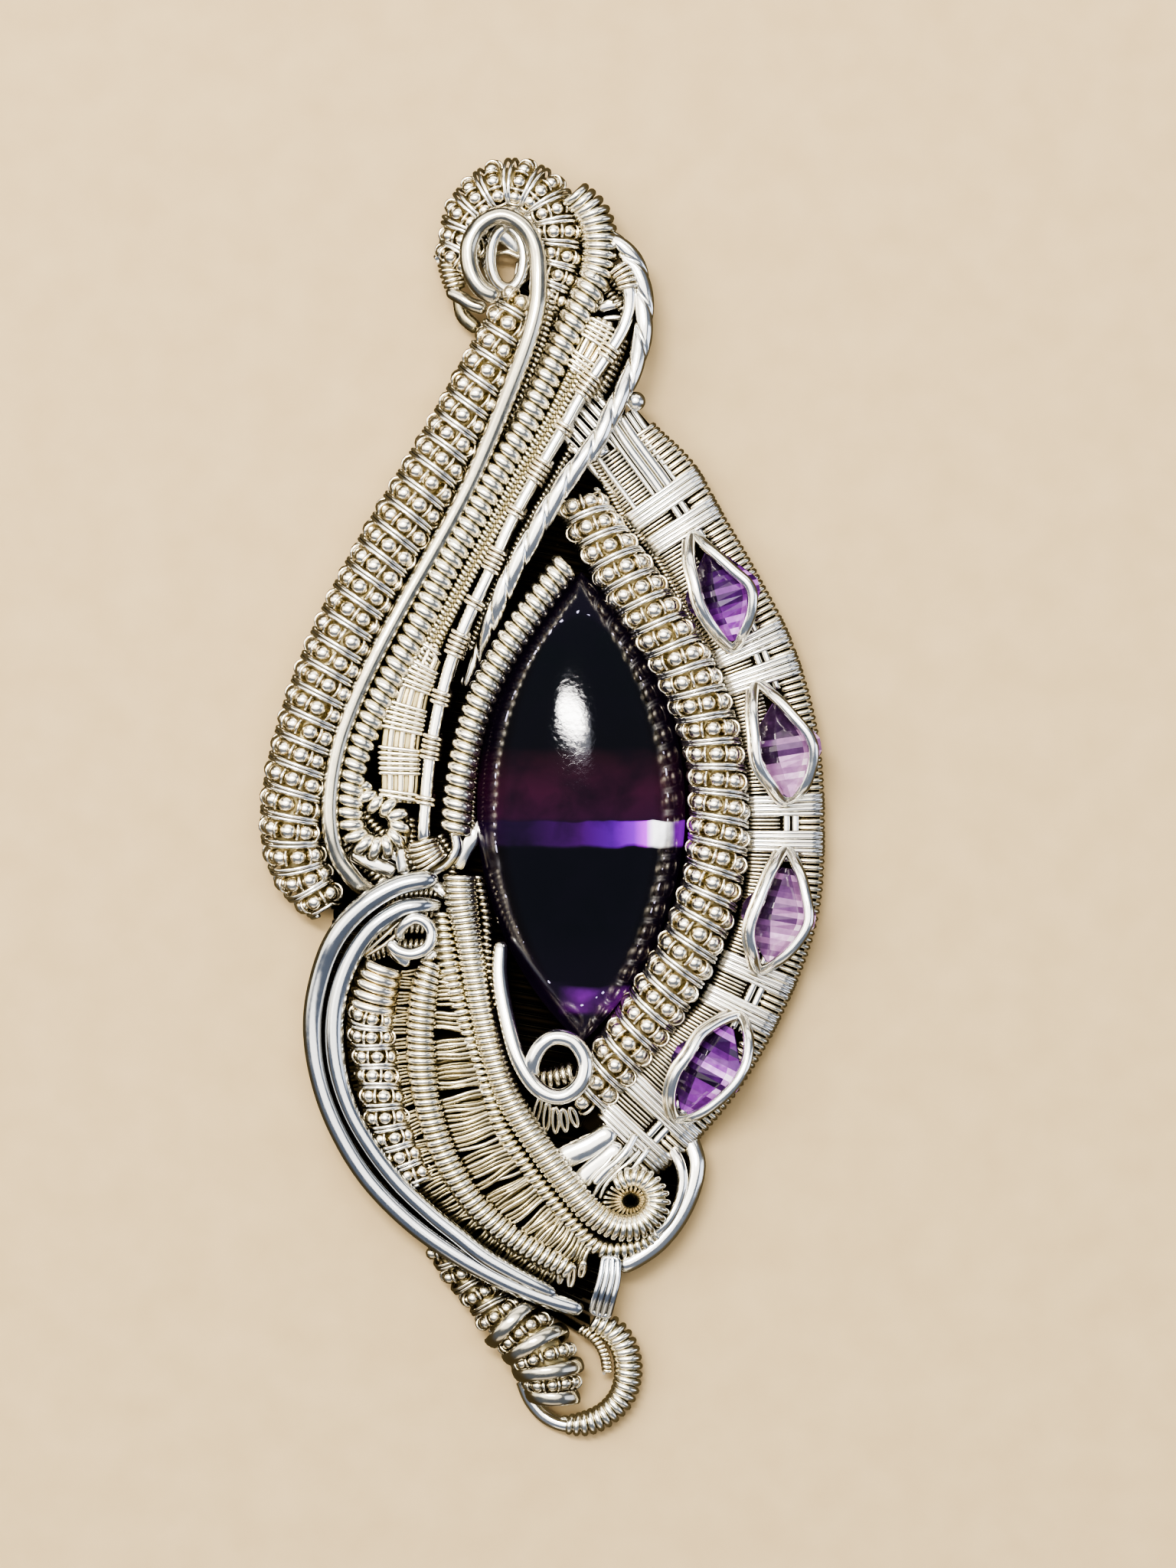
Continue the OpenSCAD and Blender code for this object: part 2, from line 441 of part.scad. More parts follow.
module small_curl() { color(bright) wire(small_curl_at, medium_d, curl_steps); }
module large_curl() { color(bright) wire(large_curl_at, heavy_d); }
module fan_tube() { color(bright) tube(fan_tube_at, fan_tube_d); }
module fan_left_wire() { color(bright) wire(fan_left_at, coil_d); }
module fan_middle_strip() { color(bright) wire(fan_middle_at, medium_d); }
module fan_right_wire() { color(bright) wire(fan_right_at, coil_d); }
module fan_weave() { color(shaded) strip(fan_weave_at, fan_w, fan_t); }
module rim_wire() { color(bright) wire(rim_wire_at, heavy_d); }
module rim_strand() { color(bright) wire(rim_strand_at, medium_d); }
module strap() { color(bright) strip(strap_at, strap_w, strap_t); }
module bottom_tube() { color(bright) tube(bottom_tube_at, bottom_tube_d); }
module bottom_loop() { color(bright) wire(bottom_loop_at, coil_d); }

scale(fit) translate([-mid_x, -mid_y, 0]) {
    back_frame();
    cabochon();
    bezel_coil();
    bail_tube();
    bail_lining();
    bail_binding();
    bail_tail_1();
    bail_tail_2();
    left_tube();
    s_wire();
    scroll_coil();
    woven_strip();
    wrapped_wire();
    neck_knot();
    ribbon_wire();
    ball_end();
    right_tube();
    woven_band();
    for (i = [0 : len(stones) - 1]) {
        band_stone(i);
        stone_wire(i);
    }
    band_tail_1();
    band_tail_2();
    crescent_outer();
    crescent_inner();
    small_curl();
    large_curl();
    fan_tube();
    fan_left_wire();
    fan_middle_strip();
    fan_right_wire();
    fan_weave();
    rim_wire();
    rim_strand();
    strap();
    bottom_tube();
    bottom_loop();
}
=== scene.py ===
import math
import bpy
import numpy as np
from mathutils import Matrix, Vector


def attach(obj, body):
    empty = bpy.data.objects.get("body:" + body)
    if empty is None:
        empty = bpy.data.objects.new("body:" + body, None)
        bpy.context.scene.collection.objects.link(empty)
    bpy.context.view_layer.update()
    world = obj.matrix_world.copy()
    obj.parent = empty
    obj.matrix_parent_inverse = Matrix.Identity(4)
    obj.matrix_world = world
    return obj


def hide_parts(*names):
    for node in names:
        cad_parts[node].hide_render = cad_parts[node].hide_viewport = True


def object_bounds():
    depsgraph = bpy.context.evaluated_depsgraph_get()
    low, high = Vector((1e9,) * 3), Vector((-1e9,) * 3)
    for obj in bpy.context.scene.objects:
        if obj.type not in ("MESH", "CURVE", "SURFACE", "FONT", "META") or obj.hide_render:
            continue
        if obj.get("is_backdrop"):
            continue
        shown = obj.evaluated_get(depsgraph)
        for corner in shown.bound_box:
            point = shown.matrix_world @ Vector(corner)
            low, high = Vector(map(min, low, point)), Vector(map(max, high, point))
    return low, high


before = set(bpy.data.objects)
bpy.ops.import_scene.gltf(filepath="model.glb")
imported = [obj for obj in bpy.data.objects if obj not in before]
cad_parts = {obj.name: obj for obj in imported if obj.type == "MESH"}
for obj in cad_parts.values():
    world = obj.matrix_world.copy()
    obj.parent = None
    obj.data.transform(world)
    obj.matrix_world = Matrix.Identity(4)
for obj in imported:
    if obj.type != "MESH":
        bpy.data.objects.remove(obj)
cad_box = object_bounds()

# The surface that the pendant lies on: a matt board, pale and warm like unbleached card.
# The wires don't mirror it: they show the dim room below it instead.
MM = 0.001


def linear(code):
    """An sRGB hex colour as linear values."""
    values = [int(code[i:i + 2], 16) / 255 for i in (1, 3, 5)]
    return [v / 12.92 if v <= 0.04045 else ((v + 0.055) / 1.055) ** 2.4 for v in values] + [1.0]


def add(tree, kind, inputs={}, **settings):
    """Adds a shader node. Each input takes a value or another node's output."""
    node = tree.nodes.new("ShaderNode" + kind)
    for name, value in settings.items():
        setattr(node, name, value)
    for name, value in inputs.items():
        if isinstance(value, bpy.types.NodeSocket):
            tree.links.new(value, node.inputs[name])
        else:
            node.inputs[name].default_value = value
    return node


def new_material(name):
    material = bpy.data.materials.new(name)
    material.use_nodes = True
    material.node_tree.nodes.clear()
    return material, material.node_tree


# Uncoated card: fully matt, with the faint mottling of paper pulp, about 3 mm across
card, tree = new_material("pale_card")
place = add(tree, "TexCoord").outputs["Object"]
pulp = add(tree, "TexNoise", {"Vector": place, "Scale": 1 / (3 * MM), "Detail": 4.0})
tint = add(tree, "Mix", {"Factor": pulp.outputs["Fac"], "A": linear("#b9a27c"), "B": linear("#c8b28c")},
           data_type="RGBA")
paper = add(tree, "BsdfPrincipled", {"Base Color": tint.outputs["Result"], "Roughness": 0.9})
add(tree, "OutputMaterial", {"Surface": paper.outputs["BSDF"]})

board = 900 * MM
corners = [(-board, -board, 0), (board, -board, 0), (board, board, 0), (-board, board, 0)]
floor_mesh = bpy.data.meshes.new("floor")
floor_mesh.from_pydata(corners, [], [(0, 1, 2, 3)])
floor_mesh.materials.append(card)
floor = bpy.data.objects.new("floor", floor_mesh)
bpy.context.scene.collection.objects.link(floor)
floor.visible_glossy = False
floor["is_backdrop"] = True

# Studio light: a white oval window above and a little to the upper left, a wide soft ceiling, and
# dimmer panels low on the left, at the top and on the right. Only the window and its pale frame
# reach the main stone.
# Each row: name, shape, direction to it (x, y, z), width, height and tilt as seen from the pendant in
# degrees, brightness, colour
panels = [
    ("window", "ELLIPSE", (-0.16, 0.31, 0.94), 26, 8, -9, 50.0, "#fffaf4"),
    ("window_frame", "ELLIPSE", (-0.12, 0.285, 0.95), 33, 12, -14, 2.6, "#f4f6ff"),
    ("ceiling", "ELLIPSE", (-0.16, 0.20, 0.96), 88, 64, 0, 2.1, "#fff9ee"),
    ("left_panel", "RECTANGLE", (-0.85, 0.20, 0.50), 60, 36, 0, 1.7, "#fff6e4"),
    ("top_panel", "RECTANGLE", (0.05, 0.88, 0.48), 80, 26, 0, 1.9, "#fff8ea"),
    ("right_panel", "RECTANGLE", (0.96, -0.10, 0.26), 50, 26, 0, 1.5, "#e4ecff"),
    ("low_panel", "RECTANGLE", (-0.10, -0.95, 0.30), 50, 22, 0, 0.9, "#ffeccc"),
]
panel_distance = 500 * MM
unlit_by_panels = bpy.data.collections.new("unlit_by_panels")
for name, shape, direction, width, height, tilt, brightness, colour in panels:
    light = bpy.data.lights.new(name, "AREA")
    light.shape = shape
    light.size = 2 * panel_distance * math.tan(math.radians(width / 2))
    light.size_y = 2 * panel_distance * math.tan(math.radians(height / 2))
    area = light.size * light.size_y * (math.pi / 4 if shape == "ELLIPSE" else 1)
    light.energy = brightness * math.pi * area
    light.color = linear(colour)[:3]
    away = Vector(direction).normalized()
    level_x = Vector((0, 1, 0)).cross(away).normalized() if abs(away.y) < 0.8 else Vector((1, 0, 0))
    level_y = away.cross(level_x).normalized()
    lamp = bpy.data.objects.new(name, light)
    lamp.matrix_world = (Matrix((level_x, level_y, away)).transposed() @
                         Matrix.Rotation(math.radians(tilt), 3, "Z")).to_4x4()
    lamp.location = away * panel_distance
    bpy.context.scene.collection.objects.link(lamp)
    if not name.startswith("window"):
        lamp.light_linking.receiver_collection = unlit_by_panels

# The room is dim and cool above, and dark brown below the edge of the table
room = bpy.data.worlds.new("room")
room.use_nodes = True
room.node_tree.nodes.clear()
tree = room.node_tree
outlook = add(tree, "SeparateXYZ", {"Vector": add(tree, "TexCoord").outputs["Generated"]})
upward = add(tree, "MapRange", {"Value": outlook.outputs["Z"], "From Min": -0.12, "From Max": 0.35})
walls = add(tree, "Mix", {"Factor": upward.outputs["Result"], "A": linear("#8c7c5c"),
                          "B": linear("#a3adc0")}, data_type="RGBA")
air = add(tree, "Background", {"Color": walls.outputs["Result"], "Strength": 0.5})
add(tree, "OutputWorld", {"Surface": air.outputs["Background"]})
bpy.context.scene.world = room
# A contrasty rendering, as in a close-up of bright metal
bpy.context.scene.view_settings.look = "AgX - High Contrast"

# The camera looks straight down on the pendant's wires, and frames 97.5 mm from top to bottom there
view_x, view_y, view_z, view_height = 2.798, 0.932, 3.0, 97.524
camera_above, sensor = 300, 36
camera = bpy.data.objects.new("camera", bpy.data.cameras.new("camera"))
camera.location = (view_x * MM, view_y * MM, (view_z + camera_above) * MM)
camera.data.sensor_width = sensor
camera.data.lens = sensor * camera_above / view_height
camera.data.clip_start = 10 * MM
bpy.context.scene.collection.objects.link(camera)
bpy.context.scene.camera = camera

# The back frame: a flat frame of silver behind the main stone, sawn from sheet, left satin, and painted
# near-black as shade. Thin wire, painted the same, is laced to and fro over it between the outer coils,
# and fills the gaps with painted shade.


def silver(name, bright, painted_shade_colour, roughness, dent, dent_mm):
    """Silver that is bright where it stands free and painted darker in its gaps, as shade with a little
    tarnish, with a hand-worked surface.

    dent is the depth of its unevenness in mm, dent_mm the width of one dent.
    """
    material, tree = new_material(name)
    place = add(tree, "TexCoord").outputs["Object"]
    # A gap counts as hidden where other wire is within 0.5 mm. Painted shade: there the colour is mixed
    # towards the shade colour
    hidden = add(tree, "AmbientOcclusion", {"Distance": 0.5 * MM}, samples=6)
    shade = add(tree, "MapRange", {"Value": hidden.outputs["AO"], "From Min": 0.06, "From Max": 0.62})
    tone = add(tree, "Mix", {"Factor": shade.outputs["Result"], "A": linear(painted_shade_colour), "B": linear(bright)},
               data_type="RGBA")
    wear = add(tree, "TexNoise", {"Vector": place, "Scale": 1 / (dent_mm * MM), "Detail": 3.0})
    dull = add(tree, "MapRange", {"Value": wear.outputs["Fac"], "From Min": 0.3, "From Max": 0.7,
                                  "To Min": roughness * 0.75, "To Max": roughness * 1.3})
    relief = add(tree, "Bump", {"Height": wear.outputs["Fac"], "Distance": dent * MM, "Strength": 1.0})
    metal = add(tree, "BsdfPrincipled", {
        "Base Color": tone.outputs["Result"], "Metallic": 1.0, "Roughness": dull.outputs["Result"],
        "Normal": relief.outputs["Normal"]})
    add(tree, "OutputMaterial", {"Surface": metal.outputs["BSDF"]})
    return material


# The middle of the pendant's outline in mm, which is the origin of its frame
mid_x, mid_y = 0.083, -0.099


def quads(rows, columns, ring=False):
    """Faces between the rows of a grid of points that closes across, and also along if it is a ring."""
    i = np.arange(rows if ring else rows - 1)[:, None] * columns
    j = np.arange(columns)[None]
    i2, j2 = (i + columns) % (rows * columns), (j + 1) % columns
    return np.stack([i + j, i2 + j, i2 + j2, i + j2], -1).reshape(-1, 4)


def end_faces(rows, columns):
    """The faces that close the first and the last row of such a grid."""
    last = rows * columns - 1
    return np.array([range(columns), range(last, last - columns, -1)])


def skin(points, section, first, second, ring=False):
    """The skin of a wire round its centre line. first and second are its section's directions there."""
    grid = points[:, None] + section[None, :, :1] * first[:, None] + section[None, :, 1:] * second[:, None]
    rows, columns = len(points), len(section)
    faces = [quads(rows, columns, ring)]
    return grid.reshape(-1, 3), faces if ring else faces + [end_faces(rows, columns)]


def build(name, finishes, slot, *nodes):
    """Makes one object in its place on the pendant. finishes gives the parts in mm of each material."""
    points, faces, base, of_face = [], [], 0, []
    for number, parts in enumerate(finishes.values()):
        for part_points, groups in parts:
            points.append(part_points)
            for group in groups:
                faces += (group + base).tolist()
                of_face += [number] * len(group)
            base += len(part_points)
    mesh = bpy.data.meshes.new(name)
    mesh.from_pydata(((np.concatenate(points) - [mid_x, mid_y, 0]) * MM).tolist(), [], faces)
    for material in finishes:
        mesh.materials.append(material)
    mesh.polygons.foreach_set("material_index", of_face)
    mesh.polygons.foreach_set("use_smooth", [len(face) <= 4 for face in faces])
    piece = bpy.data.objects.new(name, mesh)
    bpy.context.scene.collection.objects.link(piece)
    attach(piece, "root")
    if nodes:
        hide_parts(*nodes)
    return piece


# Silver at the back, painted as shade: a dull brown-black where it shows between the wires from the
# front, and painted a lighter dull grey where it stands free and faces out and down
dark_silver, tree = new_material("lacing_painted_as_shade")
hidden = add(tree, "AmbientOcclusion", {"Distance": 2 * MM}, samples=6)
free = add(tree, "MapRange", {"Value": hidden.outputs["AO"], "From Min": 0.1, "From Max": 0.45})
facing = add(tree, "SeparateXYZ", {"Vector": add(tree, "TexCoord").outputs["Normal"]})
outward = add(tree, "MapRange", {"Value": facing.outputs["Z"], "From Min": 0.45, "From Max": 0.1})
less_shaded = add(tree, "Math", {0: free.outputs["Result"], 1: outward.outputs["Result"]},
             operation="MULTIPLY")
tone = add(tree, "Mix", {"Factor": less_shaded.outputs["Value"], "A": linear("#1d1810"),
                         "B": linear("#c4baa0")}, data_type="RGBA")
metal = add(tree, "BsdfPrincipled", {"Base Color": tone.outputs["Result"], "Metallic": 1.0,
                                     "Roughness": 0.62})
add(tree, "OutputMaterial", {"Surface": metal.outputs["BSDF"]})
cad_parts["back_frame"].data.materials.clear()
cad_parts["back_frame"].data.materials.append(dark_silver)
lacing_wire, lacing_pitch, lacing_low, lacing_high = 0.6, 0.62, 0.45, 0.95
# Each wire ends this many wires further up or down than it starts
lacing_slant = 7
# Each row: how far up the pendant, and how far to the left and right the lacing reaches, in mm
lacing_at = np.array([
    [36.4, 0.6, 2.6], [35.2, 0.4, 4.2], [33.0, 0.2, 5.9], [31.0, -2.2, 6.4], [29.0, -3.2, 6.2],
    [27.0, -3.2, 5.8], [24.8, -4.4, 5.0], [23.2, -5.2, 5.6], [21.0, -6.3, 8.2], [18.0, -8.0, 9.9],
    [14.0, -10.3, 12.0], [9.0, -12.7, 14.3], [4.0, -14.5, 15.9], [0.0, -15.4, 16.2],
    [-3.0, -15.3, 16.2], [-5.0, -14.5, 16.0], [-7.0, -13.0, 15.6], [-10.0, -13.4, 14.7],
    [-14.0, -14.0, 12.8], [-18.0, -13.5, 10.5], [-20.4, -12.6, 9.6],
    [-23.6, -10.7, 9.5], [-26.3, -8.1, 8.4], [-28.6, -5.0, 5.6], [-30.1, -3.6, 4.2], [-31.6, -2.2, 3.8],
    [-33.4, -0.4, 2.6]])
rows_y = np.arange(lacing_at[-1, 0], lacing_at[0, 0], lacing_pitch)
left = np.interp(rows_y, lacing_at[::-1, 0], lacing_at[::-1, 1])
right = np.interp(rows_y, lacing_at[::-1, 0], lacing_at[::-1, 2])
sixths = 2 * math.pi * np.arange(6) / 6
hexagon = lacing_wire / 2 * np.stack([np.cos(sixths), np.sin(sixths)], 1)
lacing = []
for left_shift, right_shift, height in [(0, lacing_slant, lacing_low), (lacing_slant, 0, lacing_high)]:
    for k in range(len(rows_y) - lacing_slant):
        ends = np.array([[left[k + left_shift], rows_y[k + left_shift], height],
                         [right[k + right_shift], rows_y[k + right_shift], height]])
        lacing.append(skin(ends, hexagon, np.array([[0, 1, 0]]), np.array([[0, 0, 1]])))
build("back_lacing", {dark_silver: lacing}, "dark_silver")

# The main stone: a long pointed oval of very dark amethyst, cut as a smooth dome with a flat back.
# The wires round its edge hold it down.
cab_l, cab_w, cab_h = 29.4, 13.0, 5.6
cab_x, cab_y, cab_z = 2.45, -0.65, 1.0
# The share of its height at which the dome begins
girdle = 0.27
# Its outline is two arcs that meet in points, and rounds off to an oval towards the top
arc = (cab_l ** 2 + cab_w ** 2) / (4 * cab_w)
arc_half = math.asin(cab_l / 2 / arc)
turn = np.linspace(-arc_half, arc_half, 60, endpoint=False)
lens = np.stack([arc * np.cos(turn) - arc + cab_w / 2, arc * np.sin(turn)], 1)
lens = np.concatenate([lens, -lens])
oval = lens.copy()
oval[:, 0] = np.sign(lens[:, 0]) * cab_w / 2 * np.sqrt(np.maximum(0, 1 - (2 * lens[:, 1] / cab_l) ** 2))
# Each entry: share of the outline, and share of the height
profile = [(0.9, 0), (0.97, 0.05), (1, 0.13)]
profile += [(math.sin(a), girdle + (1 - girdle) * math.cos(a) ** 1.24)
            for a in np.radians(np.linspace(90, 2, 46))]
dome = np.concatenate([np.insert(r * (oval + (lens - oval) * r ** 4), 2, height * cab_h, 1)
                       for r, height in profile]) + [cab_x, cab_y, cab_z]
dome_faces = [quads(len(profile), len(lens)), end_faces(len(profile), len(lens))]

# Polished amethyst: near-black with a blue cast, banded across with wine and violet where the crystal
# grew clearer, under a glassy polish. Pale glints are painted along the step that its dome rises from.
amethyst, tree = new_material("polished_amethyst")
place = add(tree, "TexCoord").outputs["Object"]
ripple = add(tree, "TexNoise", {"Vector": place, "Scale": 1 / (2.2 * MM), "Detail": 2.0})
xyz = add(tree, "SeparateXYZ", {"Vector": place})
drift = add(tree, "MapRange", {"Value": ripple.outputs["Fac"], "To Min": -0.3 * MM, "To Max": 0.3 * MM})
level = add(tree, "Math", {0: xyz.outputs["Y"], 1: drift.outputs["Result"]}, operation="ADD")
reach = 16
up_stone = add(tree, "MapRange", {"Value": level.outputs["Value"], "From Min": -reach * MM,
                                  "From Max": reach * MM})
bands = add(tree, "ValToRGB", {"Fac": up_stone.outputs["Result"]})
# Colours of the bands, by how far up the pendant they are in mm
stops = [
    (-16, "#0a060e"), (-13.4, "#1a0c20"), (-13.1, "#7c3090"), (-11.8, "#5a2070"), (-11.5, "#0c0510"),
    (-8, "#040306"), (-3.1, "#050308"), (-2.85, "#14081c"), (-1.4, "#200a24"), (-1.2, "#2e0c26"),
    (0.4, "#340f24"), (2.6, "#200a12"), (3.2, "#070407"), (9, "#050608"), (15, "#07090c")]
for k, (height, code) in enumerate(stops):
    stop = bands.color_ramp.elements[k] if k < 2 else bands.color_ramp.elements.new(0.99)
    stop.position = (height + reach) / (2 * reach)
    stop.color = linear(code)
# The violet band is painted brightening to the right, as light shines through it, to a painted white glint
across_stone = add(tree, "MapRange", {"Value": xyz.outputs["X"], "From Min": -1 * MM,
                                      "From Max": 8.6 * MM})
flash = add(tree, "ValToRGB", {"Fac": across_stone.outputs["Result"]})
stops = [(0.0, "#200a2c"), (0.34, "#3c0e50"), (0.55, "#4c1278"), (0.69, "#7a1cb2"), (0.77, "#c838ea"),
         (0.82, "#ffffff"), (0.92, "#ffffff"), (0.96, "#9030c0")]
for k, (share, code) in enumerate(stops):
    stop = flash.color_ramp.elements[k] if k < 2 else flash.color_ramp.elements.new(0.99)
    stop.position = share
    stop.color = linear(code)
low = add(tree, "MapRange", {"Value": level.outputs["Value"], "From Min": -3.0 * MM,
                             "From Max": -2.8 * MM})
high = add(tree, "MapRange", {"Value": level.outputs["Value"], "From Min": -1.35 * MM,
                              "From Max": -1.45 * MM})
in_band = add(tree, "Math", {0: low.outputs["Result"], 1: high.outputs["Result"]}, operation="MULTIPLY")
body = add(tree, "Mix", {"Factor": in_band.outputs["Value"], "A": bands.outputs["Color"],
                         "B": flash.outputs["Color"]}, data_type="RGBA")
# Darker clouds drift through it, 2 to 3 mm across
mist = add(tree, "TexNoise", {"Vector": place, "Scale": 1 / (2.4 * MM), "Detail": 5.0, "Distortion": 0.3})
cloudy = add(tree, "MapRange", {"Value": mist.outputs["Fac"], "From Min": 0.42, "From Max": 0.72,
                                "To Max": 0.75})
body = add(tree, "Mix", {"Factor": cloudy.outputs["Result"], "A": body.outputs["Result"],
                         "B": linear("#08040c")}, data_type="RGBA")
# The lowest band is clear on the right only
shaded = add(tree, "MapRange", {"Value": xyz.outputs["X"], "From Min": 2.2 * MM, "From Max": 0.9 * MM})
under = add(tree, "MapRange", {"Value": level.outputs["Value"], "From Min": -11.2 * MM,
                               "From Max": -11.4 * MM})
veil = add(tree, "Math", {0: shaded.outputs["Result"], 1: under.outputs["Result"]}, operation="MULTIPLY")
body = add(tree, "Mix", {"Factor": veil.outputs["Value"], "A": body.outputs["Result"],
                         "B": linear("#120818")}, data_type="RGBA")
# Its rim is darker and less polished, so that it mirrors the wires round it only faintly. Pale specks
# are painted as glints where the dome starts. ring is 1 at the stone's edge and 0 in its middle.
dome_start = 0.83
ring = add(tree, "Attribute", attribute_name="ring").outputs["Fac"]
rim = add(tree, "MapRange", {"Value": ring, "From Min": 0.80, "From Max": dome_start, "To Max": 0.5})
edged = add(tree, "Mix", {"Factor": rim.outputs["Result"], "A": body.outputs["Result"],
                          "B": linear("#150b1c")}, data_type="RGBA")
line = add(tree, "Math", {0: ring, 1: dome_start, 2: 0.006}, operation="COMPARE")
glint_noise = add(tree, "TexNoise", {"Vector": place, "Scale": 1 / (0.34 * MM), "Detail": 0.0})
glint_spots = add(tree, "Math", {0: glint_noise.outputs["Fac"], 1: 0.66}, operation="GREATER_THAN")
painted_glints = add(tree, "Math", {0: line.outputs["Value"], 1: glint_spots.outputs["Value"]}, operation="MULTIPLY")
colour = add(tree, "Mix", {"Factor": painted_glints.outputs["Value"], "A": edged.outputs["Result"],
                           "B": linear("#c4bcdc")}, data_type="RGBA")
# The polish is very slightly wavy, about 0.3 mm from wave to wave, which frays the window's reflection
waves = add(tree, "TexNoise", {"Vector": place, "Scale": 1 / (0.3 * MM), "Detail": 4.0, "Roughness": 0.7,
                               "Distortion": 0.8})
fray = add(tree, "Bump", {"Height": waves.outputs["Fac"], "Distance": 0.006 * MM, "Strength": 1.0})
duller = add(tree, "MapRange", {"Value": ring, "From Min": 0.72, "From Max": dome_start, "To Min": 0.07,
                                "To Max": 0.15})
# Painted glow: the stone gives off its colour a little, brightest in its clear bands, as if light that has
# gone into the crystal came out again
stone = add(tree, "BsdfPrincipled", {
    "Base Color": colour.outputs["Result"], "Roughness": duller.outputs["Result"], "IOR": 1.55,
    "Specular IOR Level": 0.85, "Normal": fray.outputs["Normal"],
    "Emission Color": colour.outputs["Result"], "Emission Strength": 1.2})
add(tree, "OutputMaterial", {"Surface": stone.outputs["BSDF"]})

main_stone = build("main_stone", {amethyst: [(dome, dome_faces)]}, "main_stone", "cabochon")
shares = [1.0] * 3 + [r for r, height in profile[3:]]
ring_values = main_stone.data.attributes.new("ring", "FLOAT", "POINT").data
ring_values.foreach_set("value", np.repeat(shares, len(lens)))
unlit_by_panels.objects.link(main_stone)
for entry in unlit_by_panels.collection_objects:
    entry.light_linking.link_state = "EXCLUDE"

# The double-coiled tubes. Fine silver wire is coiled round a wire, and that coil is wound again round
# a core, so that its turns stand out in rows of round beads with two plain turns of wire between rows.


def lengths(points):
    """How far along a line each of its points is, in mm."""
    return np.concatenate([[0], np.cumsum(np.linalg.norm(np.diff(points, axis=0), axis=1))])


def unit(directions):
    return directions / np.linalg.norm(directions, axis=-1, keepdims=True)


def curve(rows, step, ring=False, tip=0):
    """A smooth curve through the rows of a route, as points [x, y, z, size] about step mm apart.

    A row without a size has size 1. tip is the radius in mm that the curve's ends are rounded to.
    """
    rows = np.array([[*row, 1][:4] for row in rows], float)
    n = len(rows)
    u = np.linspace(0, n if ring else n - 1, 40 * n)
    i = np.minimum(u.astype(int), n - 1 if ring else n - 2)
    a, b, c, d = (rows[(i + k) % n] if ring else rows[np.clip(i + k, 0, n - 1)] for k in (-1, 0, 1, 2))
    f = (u - i)[:, None]
    dense = b + 0.5 * f * (c - a + f * (2 * a - 5 * b + 4 * c - d + f * (3 * (b - c) + d - a)))
    run = lengths(dense[:, :3])
    want = np.linspace(0, run[-1], max(3, round(run[-1] / step)) + 1)
    if ring:
        want = want[:-1]
    if tip:
        ends = tip * np.array([0, 0.03, 0.13, 0.36, 0.66, 1])
        inside = want[(want > tip * 1.1) & (want < run[-1] - tip * 1.1)]
        want = np.concatenate([ends, inside, run[-1] - ends[::-1]])
    path = np.stack([np.interp(want, run, dense[:, k]) for k in range(4)], 1)
    if tip:
        from_end = np.minimum(want, run[-1] - want).clip(0, tip) / tip
        path[:, 3] *= np.sqrt(1 - (1 - from_end) ** 2).clip(0.05)
    return path


def axes(path, ring=False):
    """Unit vectors along a path, to its side and up, at each of its points."""
    p = path[:, :3]
    along = unit(np.roll(p, -1, 0) - np.roll(p, 1, 0) if ring else np.gradient(p, axis=0))
    side = unit(np.cross(along, [0, 0, 1.0]))
    return along, side, np.cross(side, along)


def circle(sides, radius=1.0, height=None):
    """The section of a round wire, or of one hammered flat to a half height."""
    a = 2 * math.pi * (np.arange(sides) + 0.5) / sides
    return np.stack([radius * np.cos(a), (height or radius) * np.sin(a)], 1)


def sweep(path, section, ring=False):
    """A section, [across, up] in mm, carried along a path, with closed ends."""
    along, side, up = axes(path, ring)
    size = path[:, 3:]
    return skin(path[:, :3], section, size * side, size * up, ring)


def wind(path, pitch, start, per_turn, inset):
    """The centre line of a wire wound round a path whose size is its outer radius in mm.

    It goes over the top from left to right. start is the share of a turn that it begins at. Gives its
    points, and the unit vectors along it, outward, and across.
    """
    along, side, up = axes(path)
    run = lengths(path[:, :3])
    t = np.linspace(0, run[-1], max(8, int(per_turn * run[-1] / pitch)))
    a = 2 * math.pi * (t / pitch + start)[:, None]
    p, side, up = (np.stack([np.interp(t, run, column) for column in v.T], 1) for v in (path, side, up))
    out = np.cos(a) * side + np.sin(a) * up
    points = p[:, :3] + (p[:, 3:] - inset) * out
    ahead = unit(np.gradient(points, axis=0))
    across = unit(np.cross(ahead, out))
    return points, ahead, np.cross(across, ahead), across


def coil(path, wire, pitch, start, per_turn, sides, width=None):
    """A wire wound round a path whose size is the coil's outer radius in mm.

    It has per_turn points in a turn, and so many sides. A flattened wire has a width as well.
    """
    points, ahead, out, across = wind(path, pitch, start, per_turn, wire / 2)
    return skin(points, circle(sides, wire / 2, (width or wire) / 2), out, across)


def ball(around, up):
    """A unit ball, with its poles on x."""
    a = np.radians(np.linspace(8, 172, up))
    b = 2 * math.pi * np.arange(around) / around
    points = np.stack([np.repeat(np.cos(a), around), np.outer(np.sin(a), np.cos(b)).ravel(),
                       np.outer(np.sin(a), np.sin(b)).ravel()], 1)
    return points, [quads(up, around), end_faces(up, around)]


def loop(around, sides, radius, wire):
    """A ring of wire about x."""
    b = 2 * math.pi * np.arange(around)[:, None] / around
    s = circle(sides, wire / 2)
    out = radius + s[None, :, 0]
    points = np.stack([np.tile(s[:, 1], (around, 1)), out * np.cos(b), out * np.sin(b)], -1)
    return points.reshape(-1, 3), [quads(around, sides, True)]


def repeat(template, centres, *directions):
    """Copies of a template, with its x, y and z turned to three arrays of directions."""
    points, groups = template
    turned = centres[:, None] + sum(points[None, :, k, None] * d[:, None]
                                    for k, d in enumerate(directions))
    offset = len(points) * np.arange(len(centres))[:, None, None]
    return turned.reshape(-1, 3), [(g[None] + offset).reshape(-1, g.shape[1]) for g in groups]


